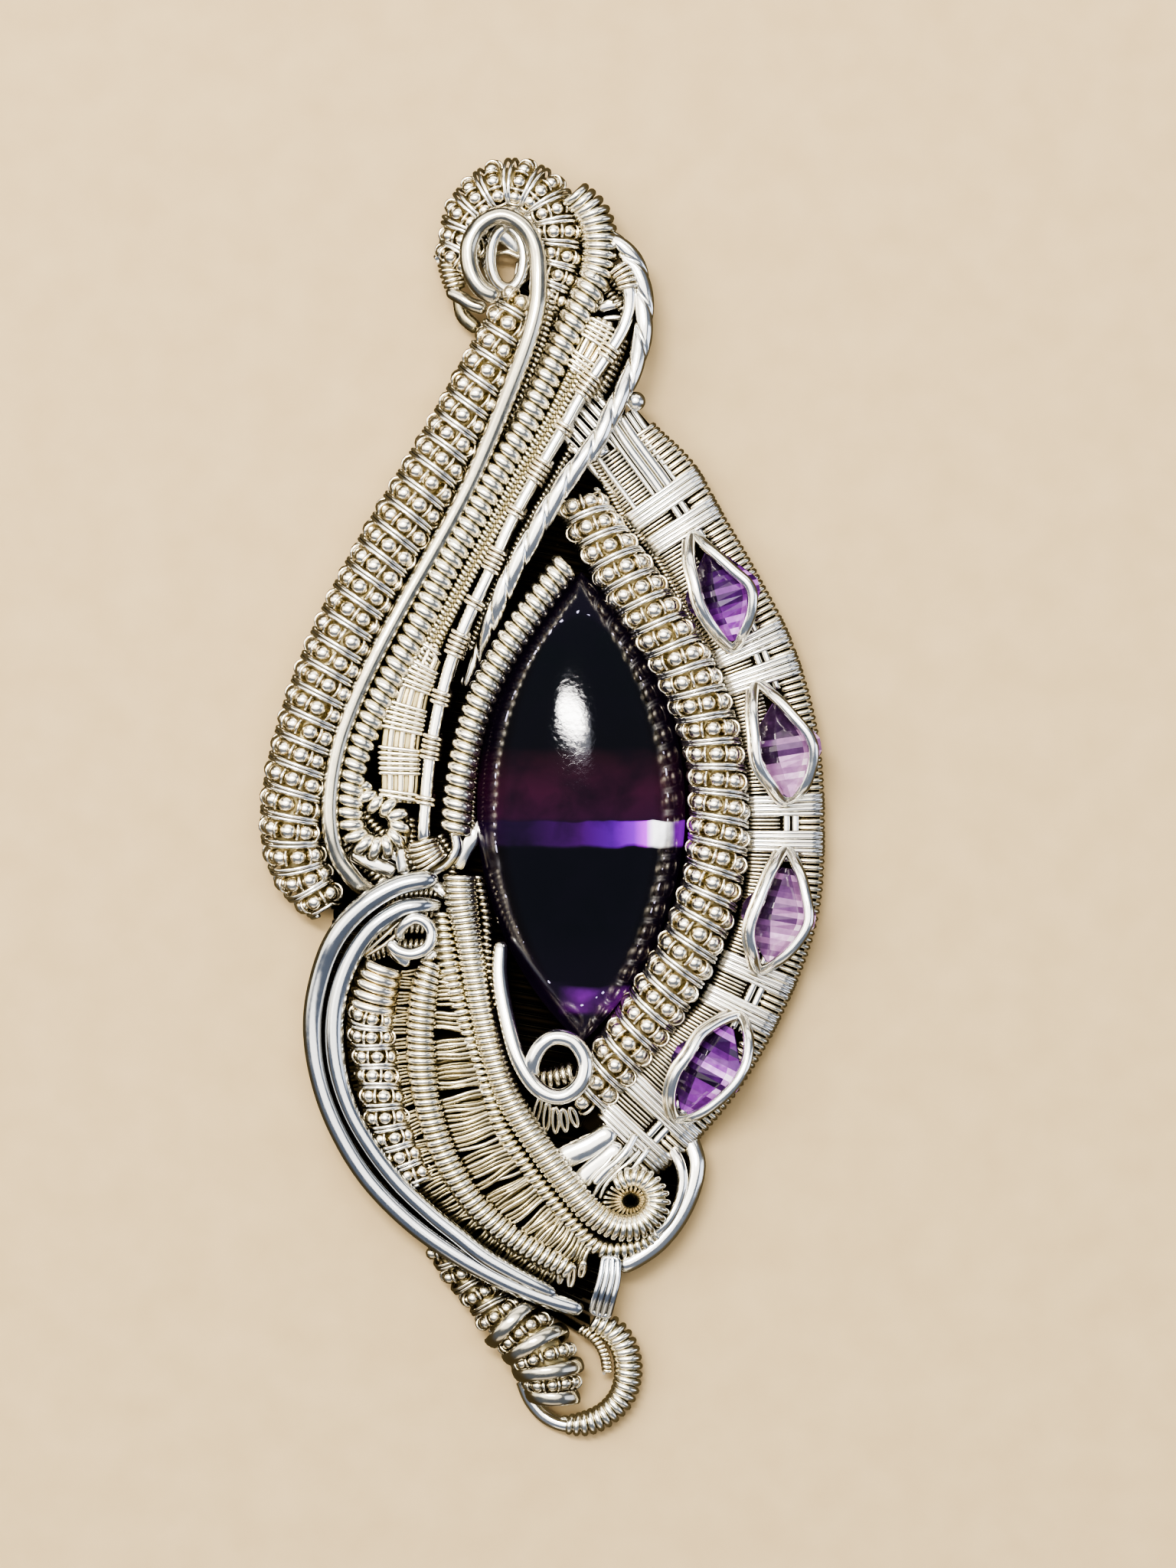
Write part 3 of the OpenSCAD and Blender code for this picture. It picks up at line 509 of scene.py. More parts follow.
def bead_rows(path, pitch, bead, seed):
    """Rows of beads wound round a path, a ring of wire between beads, and two turns between rows."""
    draw = np.random.default_rng(seed)
    # A ring is a little larger than the beads on either side of it, which nearly touch
    ring = bead * 1.14
    spacing = bead * 1.03
    around = wind(path, pitch, 0.0, 60, ring / 2)
    run = lengths(around[0])
    count = int(run[-1] / spacing)

    def spots(share):
        at = np.interp((np.arange(count) + share) * spacing, run, np.arange(len(run))).astype(int)
        return [values[at] for values in around]

    points, ahead, out, across = spots(0.25)
    grow = bead / 2 * draw.uniform(0.94, 1.04, (count, 1))
    beads = repeat(ball(12, 8), points + 0.02 * out, ahead * grow * 0.98, out * grow, across * grow)
    # Each ring leans a little its own way
    points, ahead, out, across = spots(0.75)
    tilt = ahead + 0.12 * draw.normal(size=(count, 1)) * across
    rings = repeat(loop(14, 5, ring / 2 - 0.1, 0.2), points, tilt, out, across)
    # The two turns between the rows touch, and lie a little lower than the beads
    pair_wire = 0.24
    slim = path.copy()
    slim[:, 3] -= 0.14
    pairs = [coil(slim, pair_wire, pitch, 0.5 + s * pair_wire / 2 / pitch, 28, 6) for s in (-1, 1)]
    core = path.copy()
    core[:, 3] = (core[:, 3] - ring * 0.72).clip(0.2)
    # The core's ends are filed round
    core[:4, 3] *= [0.3, 0.66, 0.86, 0.97]
    core[-4:, 3] *= [0.97, 0.86, 0.66, 0.3]
    return [beads, rings], pairs, [sweep(core, circle(12))]


# Fine silver, burnished by handling: white highlights, with painted warm grey-olive shade where the coils
# touch. The wire's dents are about a third of its width.
fine_silver = silver("fine_silver_coil", "#fff7e4", "#cbbd94", 0.2, 0.004, 0.3)
# Drawn silver wire, smooth and a little cooler, so that it shows lines of sky and shade
drawn_silver = silver("drawn_silver_wire", "#f8f6f0", "#98917c", 0.17, 0.003, 0.5)
# The heaviest wires are a little greyer still: painted shade, for the dimmer room that they mirror
grey_silver = silver("drawn_silver_heavy", "#ccced0", "#6e6858", 0.17, 0.003, 0.5)
# A warmer, darker copy: painted warm shade and reflection, for the S wire and some wires in shade
warm_silver = silver("drawn_silver_warm", "#c8c2b2", "#665e4a", 0.2, 0.003, 0.5)
# Close turns like a spring's, with a little painted shade in their grooves
spring_silver = silver("fine_silver_spring", "#f4eedd", "#b0a888", 0.2, 0.004, 0.3)
# A darker copy of the fine silver, painted as shade, for fine wire in the pendant's hollows and underneath
shaded_silver = silver("silver_painted_in_shade", "#b8ae92", "#655b42", 0.28, 0.004, 0.3)
# The core wires inside the coils, and wire deep under the rest: painted darker as the shade they lie in,
# with some tarnish
deep_shade_silver = silver("silver_painted_in_deep_shade", "#b4a884", "#6e6446", 0.42, 0.006, 0.25)

# Fine silver wire in close flat turns, a shade darker than the coils, with painted shade in its grooves
woven_silver = silver("woven_silver_wire", "#e2dac6", "#857852", 0.22, 0.003, 0.25)

# Each row: node, route, outer diameter, pitch of the rows, size of a bead
tubes = [
    ("left_tube", [
        [-1.5, 31.3, 2.5, 0.5], [-1.9, 29.9, 2.6, 0.72], [-3.2, 26.8, 2.5, 0.88], [-5.2, 22.9, 2.2, 0.94],
        [-7.9, 18.1, 2.0], [-10.5, 13.6, 2.0], [-12.6, 9.3, 2.0], [-14.2, 5.1, 2.0], [-15.3, 0.7, 2.0],
        [-15.5, -2.5, 2.0, 0.97], [-14.8, -5.0, 1.9, 0.86], [-13.3, -6.8, 1.8, 0.66]], 4.5, 1.57, 1.1),
    ("right_tube", [
        [2.3, 18.4, 2.5, 0.86], [4.15, 15.4, 3.1, 0.98], [6.95, 11.2, 3.6, 1.02], [9.2, 7.3, 3.6, 1.02],
        [10.6, 3.2, 3.5, 1.02], [11.0, -1.1, 3.5, 1.02], [10.5, -5.6, 3.5, 1.04], [8.9, -9.8, 3.4, 1.05],
        [6.6, -13.6, 3.0, 1.04], [4.4, -16.6, 2.6, 0.96], [2.5, -19.1, 2.2, 0.75]], 4.0, 1.6, 1.08),
    ("bail_tube", [
        [-5.5, 33.1, 1.9, 0.8], [-5.0, 34.3, 1.9, 0.82], [-4.6, 35.9, 1.9, 0.94], [-3.6, 37.2, 1.9],
        [-2.1, 38.0, 1.9, 1.04], [-0.4, 37.6, 1.9, 1.02], [0.6, 36.3, 1.9], [1.0, 34.6, 1.9, 0.97],
        [0.9, 32.9, 1.8, 0.88], [0.6, 31.3, 1.7, 0.76], [0.2, 29.8, 1.5, 0.6], [-0.2, 28.5, 1.3, 0.48]],
     3.95, 1.32, 0.92),
    ("bottom_tube", [
        [-6.7, -28.2, 1.3, 0.4], [-5.05, -30.0, 1.4, 0.58], [-3.6, -31.3, 1.6, 0.7],
        [-2.5, -32.45, 1.8, 0.88], [-1.1, -33.4, 2.1], [0.0, -34.65, 2.2, 1.06], [0.65, -36.3, 2.1],
        [1.0, -37.7, 2.0, 0.65]], 4.0, 1.8, 0.86)]
table_gap = 0.03
for seed, (node, rows, diameter, pitch, bead) in enumerate(tubes):
    path = curve(rows, 0.3)
    path[:, 3] *= diameter / 2
    # It rests on the table, or above it
    path[:, 2] = np.maximum(path[:, 2], path[:, 3] + table_gap)
    beads, pairs, core = bead_rows(path, pitch, bead, seed)
    of_beads, of_turns = fine_silver, drawn_silver
    if node == "bottom_tube":
        # It is painted darker, as the shade it lies in. Flattened heavy turns take the place of the pairs
        # in its lower half.
        of_beads, of_turns = woven_silver, warm_silver
        heavy_wire, heavy_width = 0.42, 0.92
        half_way = int(np.argmax(path[:, 1] < -32.6))
        turns_before = lengths(path[:half_way + 1, :3])[-1] / pitch
        stout = path[half_way:].copy()
        stout[:, 3] += 0.12
        stout[:, 2] = np.maximum(stout[:, 2], stout[:, 3] + table_gap)
        pairs = bead_rows(path[:half_way], pitch, bead, seed)[1]
        pairs.append(coil(stout, heavy_wire, pitch, turns_before + 0.5, 30, 10, heavy_width))
    build(node + "_coils", {of_beads: beads, of_turns: pairs, deep_shade_silver: core}, "silver", node)

# The tube inside the crescents is wound from the same wires, a size smaller: plain close turns at its
# top, then rows of beads like the others.
fan_tube_radius, fan_tube_pitch, fan_tube_bead = 1.6, 1.3, 0.9
path = curve([
    [-9.95, -10.5, 2.7, 0.9], [-10.45, -12.4, 2.5], [-10.65, -14.3, 2.2, 1.06], [-10.25, -16.8, 2.1],
    [-9.8, -19.4, 2.3, 0.98], [-8.9, -21.8, 2.3, 0.88], [-7.5, -24.0, 2.3, 0.68]], 0.2)
path[:, 3] *= fan_tube_radius
plain_to = -13.1
beads, pairs, core = bead_rows(path[path[:, 1] < plain_to], fan_tube_pitch, fan_tube_bead, 9)
turns = coil(path[path[:, 1] > plain_to - 0.3], 0.62, 0.6, 0.1, 20, 8)
build("fan_tube_coils", {fine_silver: beads + [turns], drawn_silver: pairs, deep_shade_silver: core},
      "silver", "fan_tube")

# The coil-wrapped wires: a silver wire with another wound round it in close turns, like a spring.
# They are bent to shape after winding, which opens the turns a little on the outside of a bend.
bottom_loop_at = [
    [3.2, -32.7, 1.6, 0.95], [4.4, -33.3, 1.5, 1.04], [5.2, -34.5, 1.4, 1.08], [5.4, -36.0, 1.3, 1.08],
    [5.0, -37.5, 1.2, 1.04], [4.0, -38.6, 1.1], [2.7, -39.2, 1.0, 0.96], [1.4, -39.3, 0.8, 0.7],
    [0.2, -38.8, 0.55, 0.66], [-0.7, -37.8, 0.5, 0.66], [-1.2, -36.6, 0.5, 0.62]]
# Each row: node, route, outer diameter, wire, pitch
springs = [
    ("scroll_coil", [
        [2.0, 37.5, 3.4], [3.1, 36.4, 3.2, 1.12], [3.6, 34.8, 3.1, 1.15], [3.5, 32.8, 3.0, 1.1],
        [2.54, 30.7, 3.0, 1.05], [1.34, 28.4, 3.0], [0.24, 26.0, 3.0], [-1.16, 23.0, 3.0],
        [-2.86, 20.0, 3.0], [-4.46, 17.0, 3.0], [-6.16, 14.0, 3.0], [-7.5, 11.0, 3.0], [-9.1, 8.0, 3.0],
        [-10.6, 5.0, 3.0, 0.97], [-11.5, 2.4, 3.0, 0.93], [-11.9, 0.2, 3.0, 0.93],
        [-11.9, -1.4, 3.0, 0.93], [-11.5, -2.5, 3.0, 0.9], [-10.6, -3.1, 3.0, 0.88],
        [-9.6, -3.0, 3.0, 0.84], [-8.9, -2.2, 3.0, 0.8], [-8.9, -1.2, 3.0, 0.78],
        [-9.5, -0.6, 3.0, 0.78], [-10.3, -0.4, 2.9, 0.76], [-11.0, 0.2, 2.8, 0.74],
        [-11.2, 1.1, 2.5, 0.7]], 2.04, 0.72, 0.75),
    ("bezel_coil", [
        [1.44, 14.4, 3.8], [-0.46, 11.8, 3.9], [-2.36, 8.9, 3.9], [-3.86, 5.9, 3.9], [-4.76, 2.7, 3.9],
        [-5.16, 0.1, 3.9], [-5.36, -2.2, 3.7]], 2.0, 0.7, 0.71),
    ("bottom_loop", bottom_loop_at[:8], 1.7, 0.44, 0.46),
    ("fan_left_wire", [
        [-6.9, -10.3, 3.0, 0.9], [-7.3, -12.0, 3.1, 1.15], [-7.5, -14.5, 3.1, 1.2],
        [-7.4, -17.0, 3.1, 1.2], [-6.9, -19.8, 3.1, 1.1], [-6.0, -22.3, 3.1, 1.05],
        [-4.6, -24.7, 3.1, 1.05], [-2.8, -26.6, 3.0, 1.05], [-0.6, -28.1, 2.9, 1.05],
        [1.7, -29.3, 2.8]], 1.6, 0.36, 0.43),
    ("fan_middle_strip", [
        [-6.2, -7.2, 2.6, 0.9], [-6.0, -9.0, 2.7, 1.25], [-5.6, -11.0, 2.8, 1.2], [-4.8, -13.8, 2.8],
        [-3.9, -16.6, 2.7, 0.8], [-3.2, -18.6, 2.7], [-2.4, -20.8, 2.7], [-0.98, -22.9, 2.7],
        [0.66, -25.05, 2.7], [2.25, -26.85, 2.7], [3.5, -28.0, 2.6], [4.9, -28.15, 2.6],
        [6.3, -27.75, 2.6, 0.95], [7.3, -27.0, 2.6, 0.8]], 1.4, 0.34, 0.44),
    ("fan_right_wire", [
        [-5.1, -4.9, 3.3, 1.3], [-5.0, -6.4, 3.3, 1.3], [-4.6, -8.4, 3.3, 1.1], [-4.2, -10.8, 3.3, 1.05],
        [-3.7, -13.2, 3.3, 1.05], [-3.1, -15.6, 3.3, 1.05], [-2.3, -18.0, 3.3, 1.05],
        [-1.2, -20.1, 3.3, 1.05], [0.3, -22.3, 3.4, 1.05], [1.9, -24.4, 3.5, 1.05],
        [3.3, -25.9, 3.6, 1.05], [4.9, -26.7, 3.6, 1.05], [6.4, -26.4, 3.6, 1.05], [7.2, -25.2, 3.6],
        [6.8, -24.0, 3.6, 0.9], [5.7, -23.5, 3.6, 0.8], [4.7, -24.0, 3.5, 0.7]], 1.68, 0.36, 0.38)]
for node, rows, diameter, wire, pitch in springs:
    path = curve(rows, 0.15)
    path[:, 3] *= diameter / 2
    core = path.copy()
    core[:, 3] -= wire * 0.8
    # In its top bend the scroll coil's turns are finer, as they spread there
    fine = int(np.argmax(path[:, 1] < 32.5)) if node == "scroll_coil" else 0
    turns = [coil(path[fine:], wire, pitch, 0, 16, 8, min(wire * 1.05, pitch * 0.98))]
    if fine:
        turns.append(coil(path[:fine + 2], 0.52, 0.52, 0, 18, 8))
    build(node + "_coil", {spring_silver: turns, deep_shade_silver: [sweep(core, circle(8))]},
          "silver", node)

# Coils of thin wire edge the stone, beside the bezel and the fan, and fill the narrow gaps that are
# left between the stouter wires. Each row: route, radius of the coil, wire, pitch
edging_at = [
    ([[-3.1, 6.3, 3.1], [-3.8, 3.6, 3.2], [-4.2, 0.6, 3.2], [-4.3, -1.8, 3.1]], 0.2, 0.15, 0.3),
    ([[-4.0, -4.9, 3.0], [-3.7, -6.2, 3.1], [-3.45, -7.6, 3.1], [-3.4, -9.2, 3.1], [-3.2, -11.0, 3.1],
      [-2.8, -13.0, 3.2]], 0.38, 0.27, 0.42),
    ([[-3.3, -5.3, 2.6], [-2.8, -6.4, 2.7], [-2.6, -7.8, 2.7]], 0.3, 0.22, 0.38),
    ([[5.0, 28.6, 2.3], [4.5, 27.2, 2.4], [4.0, 26.0, 2.4], [3.3, 24.9, 2.3]], 0.52, 0.28, 0.36),
    ([[1.9, 22.0, 2.1], [0.8, 20.0, 2.2], [-0.95, 17.0, 2.2], [-2.45, 14.0, 2.2], [-3.6, 11.5, 2.2],
      [-4.5, 9.2, 2.1]], 0.36, 0.22, 0.32),
    ([[0.7, 32.6, 2.7], [0.5, 30.4, 2.8], [0.0, 28.3, 2.8], [-0.7, 26.4, 2.8], [-1.5, 24.5, 2.7],
      [-2.6, 22.2, 2.6], [-3.9, 19.6, 2.5], [-5.4, 16.8, 2.4]], 0.42, 0.26, 0.34),
    ([[-10.9, -9.9, 2.0], [-9.0, -9.3, 2.1], [-6.8, -9.2, 2.0]], 0.5, 0.28, 0.34),
    ([[-11.4, -9.0, 1.9], [-9.4, -8.2, 2.0], [-6.6, -8.1, 2.0]], 0.5, 0.28, 0.34),
    ([[-10.2, -7.8, 1.9], [-8.3, -7.2, 2.0], [-6.4, -7.2, 2.0]], 0.45, 0.28, 0.34),
    ([[-9.9, -6.4, 2.6], [-8.3, -6.0, 2.8], [-6.6, -5.9, 2.8]], 0.4, 0.24, 0.3),
    ([[-11.2, -0.9, 1.9], [-10.2, -2.0, 1.9], [-9.2, -2.7, 1.9]], 0.5, 0.28, 0.34),
    ([[-12.6, -2.6, 1.4], [-11.0, -4.2, 1.5], [-9.6, -5.6, 1.6]], 0.6, 0.3, 0.36),
    ([[-8.2, -1.3, 1.8], [-8.1, -3.0, 1.8], [-7.9, -4.6, 1.8]], 0.5, 0.28, 0.34),
    ([[-6.4, -2.4, 1.7], [-5.6, -3.7, 1.8], [-5.6, -4.9, 1.8]], 0.5, 0.28, 0.34),
    ([[-0.7, -17.5, 3.3], [0.6, -17.4, 3.5], [1.9, -17.0, 3.5]], 0.7, 0.34, 0.4),
    ([[3.6, 31.9, 2.6], [4.4, 31.2, 2.7], [5.3, 30.1, 2.6]], 0.34, 0.22, 0.28),
    ([[3.3, 32.9, 2.4], [4.2, 32.3, 2.4], [5.0, 31.6, 2.4]], 0.4, 0.24, 0.3)]


def slim_coil(rows, radius, wire, pitch, per_turn, sides):
    """A coil of thin wire, as wide all along its route."""
    path = curve(rows, 0.1)
    path[:, 3] = radius
    return coil(path, wire, pitch, 0, per_turn, sides)


build("stone_edging", {woven_silver: [slim_coil(*row, 10, 5) for row in edging_at]}, "silver")

# The inner coil: fine silver wire wound in close turns, which lies inside the bottom loop's upper half
# and follows its bend.
inner_coil_at = [[2.4, -33.2, 1.6], [3.3, -33.8, 1.7], [3.9, -34.8, 1.6], [4.1, -36.0, 1.4]]
build("bottom_inner_coil", {fine_silver: [slim_coil(inner_coil_at, 0.36, 0.24, 0.27, 12, 6)]}, "silver")

# The plain wires: heavy round silver wire drawn smooth, bent by hand, with its ends filed round.
# Each row: node, route, wire, finish
plain_wires = [
    ("s_wire", [
        [-2.6, 31.0, 3.9], [-3.7, 31.5, 4.0], [-4.4, 32.7, 4.0], [-4.5, 34.2, 4.0], [-3.8, 35.5, 4.0],
        [-2.5, 36.1, 4.0], [-1.2, 35.5, 4.0], [-0.4, 34.2, 4.0], [-0.2, 32.4, 4.0], [-0.3, 30.4, 4.2],
        [-0.9, 28.1, 4.2], [-2.0, 25.2, 4.0], [-3.4, 21.8, 3.6], [-4.9, 18.6, 3.4], [-7.0, 14.8, 3.3],
        [-8.6, 12.0, 3.3], [-10.2, 9.0, 3.4], [-11.6, 6.0, 3.4], [-12.6, 3.2, 3.4], [-13.1, 0.4, 3.4],
        [-13.1, -1.9, 3.4], [-12.6, -3.8, 3.1], [-11.5, -5.3, 2.8], [-10.9, -5.8, 2.5],
        [-10.3, -6.3, 2.2, 0.9]], 1.12, warm_silver),
    ("crescent_outer", [
        [-6.4, -5.2, 3.5, 0.5], [-7.2, -5.1, 4.0, 1.026], [-9.0, -5.5, 4.1, 1.14],
        [-11.0, -6.7, 4.1, 1.1856], [-12.7, -8.6, 3.8, 1.1856], [-13.7, -11.0, 3.2, 1.1856],
        [-14.2, -14.0, 2.8, 1.1856], [-13.9, -17.2, 2.8, 1.04], [-12.8, -20.4, 2.8, 1.04],
        [-10.9, -23.6, 2.8, 1.04], [-8.3, -26.3, 2.9, 1.04], [-5.4, -28.4, 3.0, 1.04],
        [-2.3, -30.1, 3.0, 1.04], [0.6, -31.3, 2.9], [2.6, -31.9, 2.6, 0.9]], 1.14, grey_silver),
    ("crescent_inner", [
        [-6.1, -6.7, 2.9, 0.45], [-7.5, -6.7, 3.6, 1.008], [-8.9, -7.0, 3.7, 1.12],
        [-10.6, -8.2, 3.7, 1.12], [-12.0, -10.4, 3.5, 1.12], [-12.8, -13.2, 3.3, 1.12],
        [-12.8, -16.2, 3.2, 1.12], [-12.05, -19.1, 3.2], [-10.7, -21.6, 3.2], [-8.95, -23.9, 3.2],
        [-6.9, -25.85, 3.3], [-5.15, -27.25, 3.4], [-3.6, -28.45, 3.5], [-2.1, -29.35, 3.5, 0.95],
        [-0.5, -30.2, 3.4, 0.85], [0.9, -30.9, 3.2, 0.6]], 1.06, grey_silver),
    ("small_curl", [
        [-9.5, -8.9, 3.9], [-8.9, -9.5, 4.0], [-8.0, -9.7, 4.0], [-7.1, -9.3, 4.0], [-6.8, -8.5, 4.0],
        [-7.1, -7.8, 4.0], [-7.8, -7.5, 4.0], [-8.4, -7.8, 4.0, 0.9], [-8.8, -8.4, 3.6, 0.9],
        [-8.7, -8.9, 3.3, 0.9]], 0.74, drawn_silver),
    ("large_curl", [
        [-2.5, -8.9, 3.2, 0.9], [-2.6, -10.9, 3.6], [-2.2, -13.4, 4.2], [-1.4, -16.2, 4.8],
        [-0.2, -18.0, 5.0], [1.2, -18.5, 5.0], [2.4, -17.7, 5.1], [2.7, -16.3, 5.1], [2.0, -15.1, 5.1],
        [0.8, -14.8, 5.1], [-0.1, -15.4, 5.1], [-0.6, -16.5, 4.9], [-0.5, -17.3, 4.4]],
     1.02, drawn_silver),
    ("rim_wire", [
        [8.9, -20.5, 1.3, 0.9], [9.35, -21.6, 1.9], [9.65, -22.9, 2.2, 1.04], [9.3, -24.6, 2.3, 1.04],
        [8.4, -26.4, 2.4, 1.04], [7.1, -27.9, 2.5, 1.04], [5.4, -29.0, 2.6], [4.7, -29.1, 2.5, 0.9]],
     1.12, drawn_silver),
    ("rim_strand", [
        [8.1, -21.8, 2.1], [8.6, -22.8, 2.7], [8.75, -24.0, 2.8], [8.4, -25.3, 2.8], [7.7, -26.5, 2.9],
        [6.7, -27.4, 2.6], [5.6, -28.1, 2.4, 0.9]], 0.7, drawn_silver),
    ("band_tail_1", [
        [4.6, -20.7, 2.5], [3.2, -21.6, 2.5], [2.4, -22.0, 2.5], [1.4, -22.5, 2.4], [0.2, -23.2, 2.2]],
     1.55, drawn_silver),
    ("band_tail_2", [
        [5.0, -21.6, 2.6], [3.95, -22.6, 2.6], [3.2, -23.2, 2.5], [2.4, -23.9, 2.4], [1.4, -24.7, 2.2]],
     1.4, drawn_silver),
    ("bail_tail_1", [[-5.9, 31.6, 2.2, 0.9], [-5.0, 31.1, 2.6], [-4.4, 30.7, 2.7], [-3.4, 30.4, 2.7]],
     0.86, warm_silver),
    ("bail_tail_2", [[-5.7, 31.9, 1.2, 0.9], [-5.2, 31.2, 1.4], [-4.9, 30.1, 1.3, 1.1],
                     [-3.9, 29.2, 1.3]], 0.86, shaded_silver)]
for node, rows, wire, finish in plain_wires:
    path = curve(rows, 0.2, tip=wire / 2)
    # The band's tails are hammered a little flat
    thick = 0.9 if "band_tail" in node else wire
    build(node + "_drawn", {finish: [sweep(path, circle(14, wire / 2, thick / 2))]}, "silver", node)

# Short ends at the foot of the neck, where the wires are turned round one another. Some are hammered
# flat. Each row: route, width, thickness
ends_at = [
    ([[-8.7, -2.2, 2.7], [-8.75, -3.4, 2.6], [-8.55, -4.8, 2.4]], 0.8, 0.4),
    ([[-3.95, -1.4, 2.6, 0.2], [-4.3, -2.4, 2.7], [-4.8, -3.4, 2.6, 0.9], [-5.2, -4.5, 2.4, 0.7]],
     1.0, 0.4),
    ([[-12.0, -3.5, 1.9], [-10.5, -4.1, 2.1, 1.1], [-9.1, -4.7, 2.0, 0.9]], 1.0, 0.5),
    ([[-11.0, -3.0, 1.5], [-9.4, -3.5, 1.7], [-8.0, -4.3, 1.7, 0.9]], 0.9, 0.5),
    ([[-5.5, -2.0, 2.9], [-5.3, -3.2, 2.8], [-6.0, -4.2, 2.6], [-7.0, -4.7, 2.4]], 0.72, 0.72),
    ([[-7.6, -4.5, 2.2], [-6.6, -5.6, 2.6], [-5.7, -6.1, 2.7]], 0.9, 0.7),
    ([[-9.4, -9.0, 3.0, 0.8], [-9.0, -9.8, 2.9], [-8.2, -10.4, 2.7, 0.8]], 0.8, 0.5),
    ([[-9.9, -8.4, 3.0, 0.6], [-9.5, -7.8, 3.1], [-8.7, -7.2, 3.0, 0.9]], 0.7, 0.5),
    ([[-7.2, -10.4, 2.6], [-6.9, -9.9, 2.8], [-6.3, -9.4, 2.6]], 0.7, 0.6),
    ([[3.4, 30.5, 2.4], [4.3, 30.75, 2.6], [5.2, 30.9, 2.5]], 0.75, 0.3),
    ([[3.7, 29.8, 2.3], [4.5, 29.9, 2.4], [5.2, 29.9, 2.3]], 0.4, 0.3)]
short_ends = [sweep(curve(rows, 0.15, tip=0.25), circle(12, wide / 2, thick / 2))
              for rows, wide, thick in ends_at]
# Thin wire is tied round the start of the small curl
tied = []
for s in (-0.2, 0.1, 0.4):
    rows = [[s - 11.4, -9.9, 2.9], [s - 10.1, -8.7 - s, 3.2], [s - 8.9, -7.6 - s, 3.4]]
    tied.append(sweep(curve(rows, 0.15), circle(6, 0.13)))
build("neck_ends", {drawn_silver: short_ends, fine_silver: tied}, "silver")

# The band's bare wires: drawn silver, left without any weave. Six of them run side by side from the
# band's head, below the ribbon wire.
bare = []
for k in range(6):
    x, y = 0.3 + 0.5 * k, 23.6 + 0.42 * k
    bare.append(sweep(curve([[x, y, 1.9], [x + 2.3, y - 2.5, 2.1], [x + 4.5, y - 4.9, 2.0]], 0.2),
                      circle(10, 0.29)))
# Others lie between the band's foot and the fan's scroll. Each row: route, wire
foot_wires = [
    ([[5.8, -21.0, 2.9], [5.3, -21.9, 3.2], [4.7, -22.6, 3.3], [4.0, -23.2, 3.2], [3.3, -24.0, 3.0]],
     0.52),
    ([[5.6, -21.9, 2.9], [5.0, -22.6, 3.1], [4.3, -23.3, 3.1], [3.6, -24.1, 3.0], [3.1, -25.0, 2.8]],
     0.3),
    ([[6.1, -22.0, 2.8], [5.4, -22.7, 3.0], [4.7, -23.3, 3.1], [4.0, -24.1, 3.0], [3.6, -25.0, 2.8]],
     0.3),
    ([[4.7, -21.9, 2.8], [4.1, -22.7, 3.0], [3.4, -23.4, 3.0], [2.8, -24.2, 2.8]], 0.3),
    ([[6.6, -21.9, 2.7], [6.1, -22.6, 2.9], [5.6, -23.2, 2.8]], 0.4)]
bare += [sweep(curve(rows, 0.15), circle(10, wire / 2)) for rows, wire in foot_wires]
build("band_ends", {drawn_silver: bare}, "silver")

# The bottom loop's left end: its core wire of drawn silver, which carries on bare where the coil stops,
# with its end filed round.
path = curve(bottom_loop_at[6:], 0.2, tip=0.4)
path[:, 3] = 1
build("bottom_loop_end", {drawn_silver: [sweep(path, circle(14, 0.46))]}, "silver")

# The ball end: a drawn silver wire, whose end was melted in a flame until it drew up into a ball. It
# sits beside the ribbon wire.
melt_x, melt_y, melt_z, melt_r = 5.85, 24.6, 3.5, 0.6
points, faces = ball(24, 14)
build("melted_ball", {drawn_silver: [([melt_x, melt_y, melt_z] + melt_r * points, faces)]}, "dark_silver",
      "ball_end")

# The wrapped wire down the neck: a plain wire with short bindings of fine wire along it, and a knot
# of turns that closes its lower end.
step = 0.1
path = curve([
    [4.7, 33.0, 3.3, 1.5], [5.3, 32.1, 3.4, 1.4], [5.5, 30.8, 3.4], [5.1, 29.2, 3.4], [4.0, 27.3, 3.5],
    [2.5, 25.0, 3.5], [1.4, 23.0, 3.5], [-0.3, 20.0, 3.5], [-1.9, 17.0, 3.5], [-3.2, 14.0, 3.5],
    [-4.4, 11.5, 3.5], [-5.4, 9.0, 3.5], [-6.2, 6.2, 3.5], [-6.8, 3.2, 3.5], [-7.1, 0.5, 3.5],
    [-7.3, -2.0, 3.5], [-7.25, -3.0, 3.2]], step)
path[:, 3] = np.minimum(path[:, 3], 1.15)
core_wire, wrap_wire, wrap_pitch = 0.84, 0.29, 0.32
core = sweep(path[::2], circle(12, core_wire / 2))
# Each pair: how far up the pendant the middle of a binding is, and its turns
bindings = [(32.4, 5), (27.6, 3), (25.6, 5), (23.0, 2), (20.3, 5), (17.7, 2), (14.7, 5), (12.1, 2),
            (9.5, 5), (6.2, 3), (3.1, 5), (-0.2, 2)]
wraps = []
for middle_y, turns in bindings:
    middle = int(np.argmin(abs(path[:, 1] - middle_y)))
    half = int(round(turns * wrap_pitch / 2 / step))
    bound = path[max(0, middle - half):middle + half + 1].copy()
    bound[:, 3] = bound[:, 3] * core_wire / 2 + 0.3
    wraps.append(coil(bound, wrap_wire, wrap_pitch, 0.6, 14, 6))
build("wrapped_wire_bindings", {drawn_silver: [core], fine_silver: wraps}, "silver", "wrapped_wire")

path = curve([[-7.5, -2.7, 3.2, 0.9], [-7.2, -3.5, 3.1], [-6.7, -4.2, 3.0, 0.9]], 0.1)
path[:, 3] *= 1.2
build("neck_knot_turns", {fine_silver: [coil(path, 0.28, 0.3, 0.1, 18, 6)],
                          deep_shade_silver: [sweep(path, circle(8, 0.8))]}, "silver", "neck_knot")

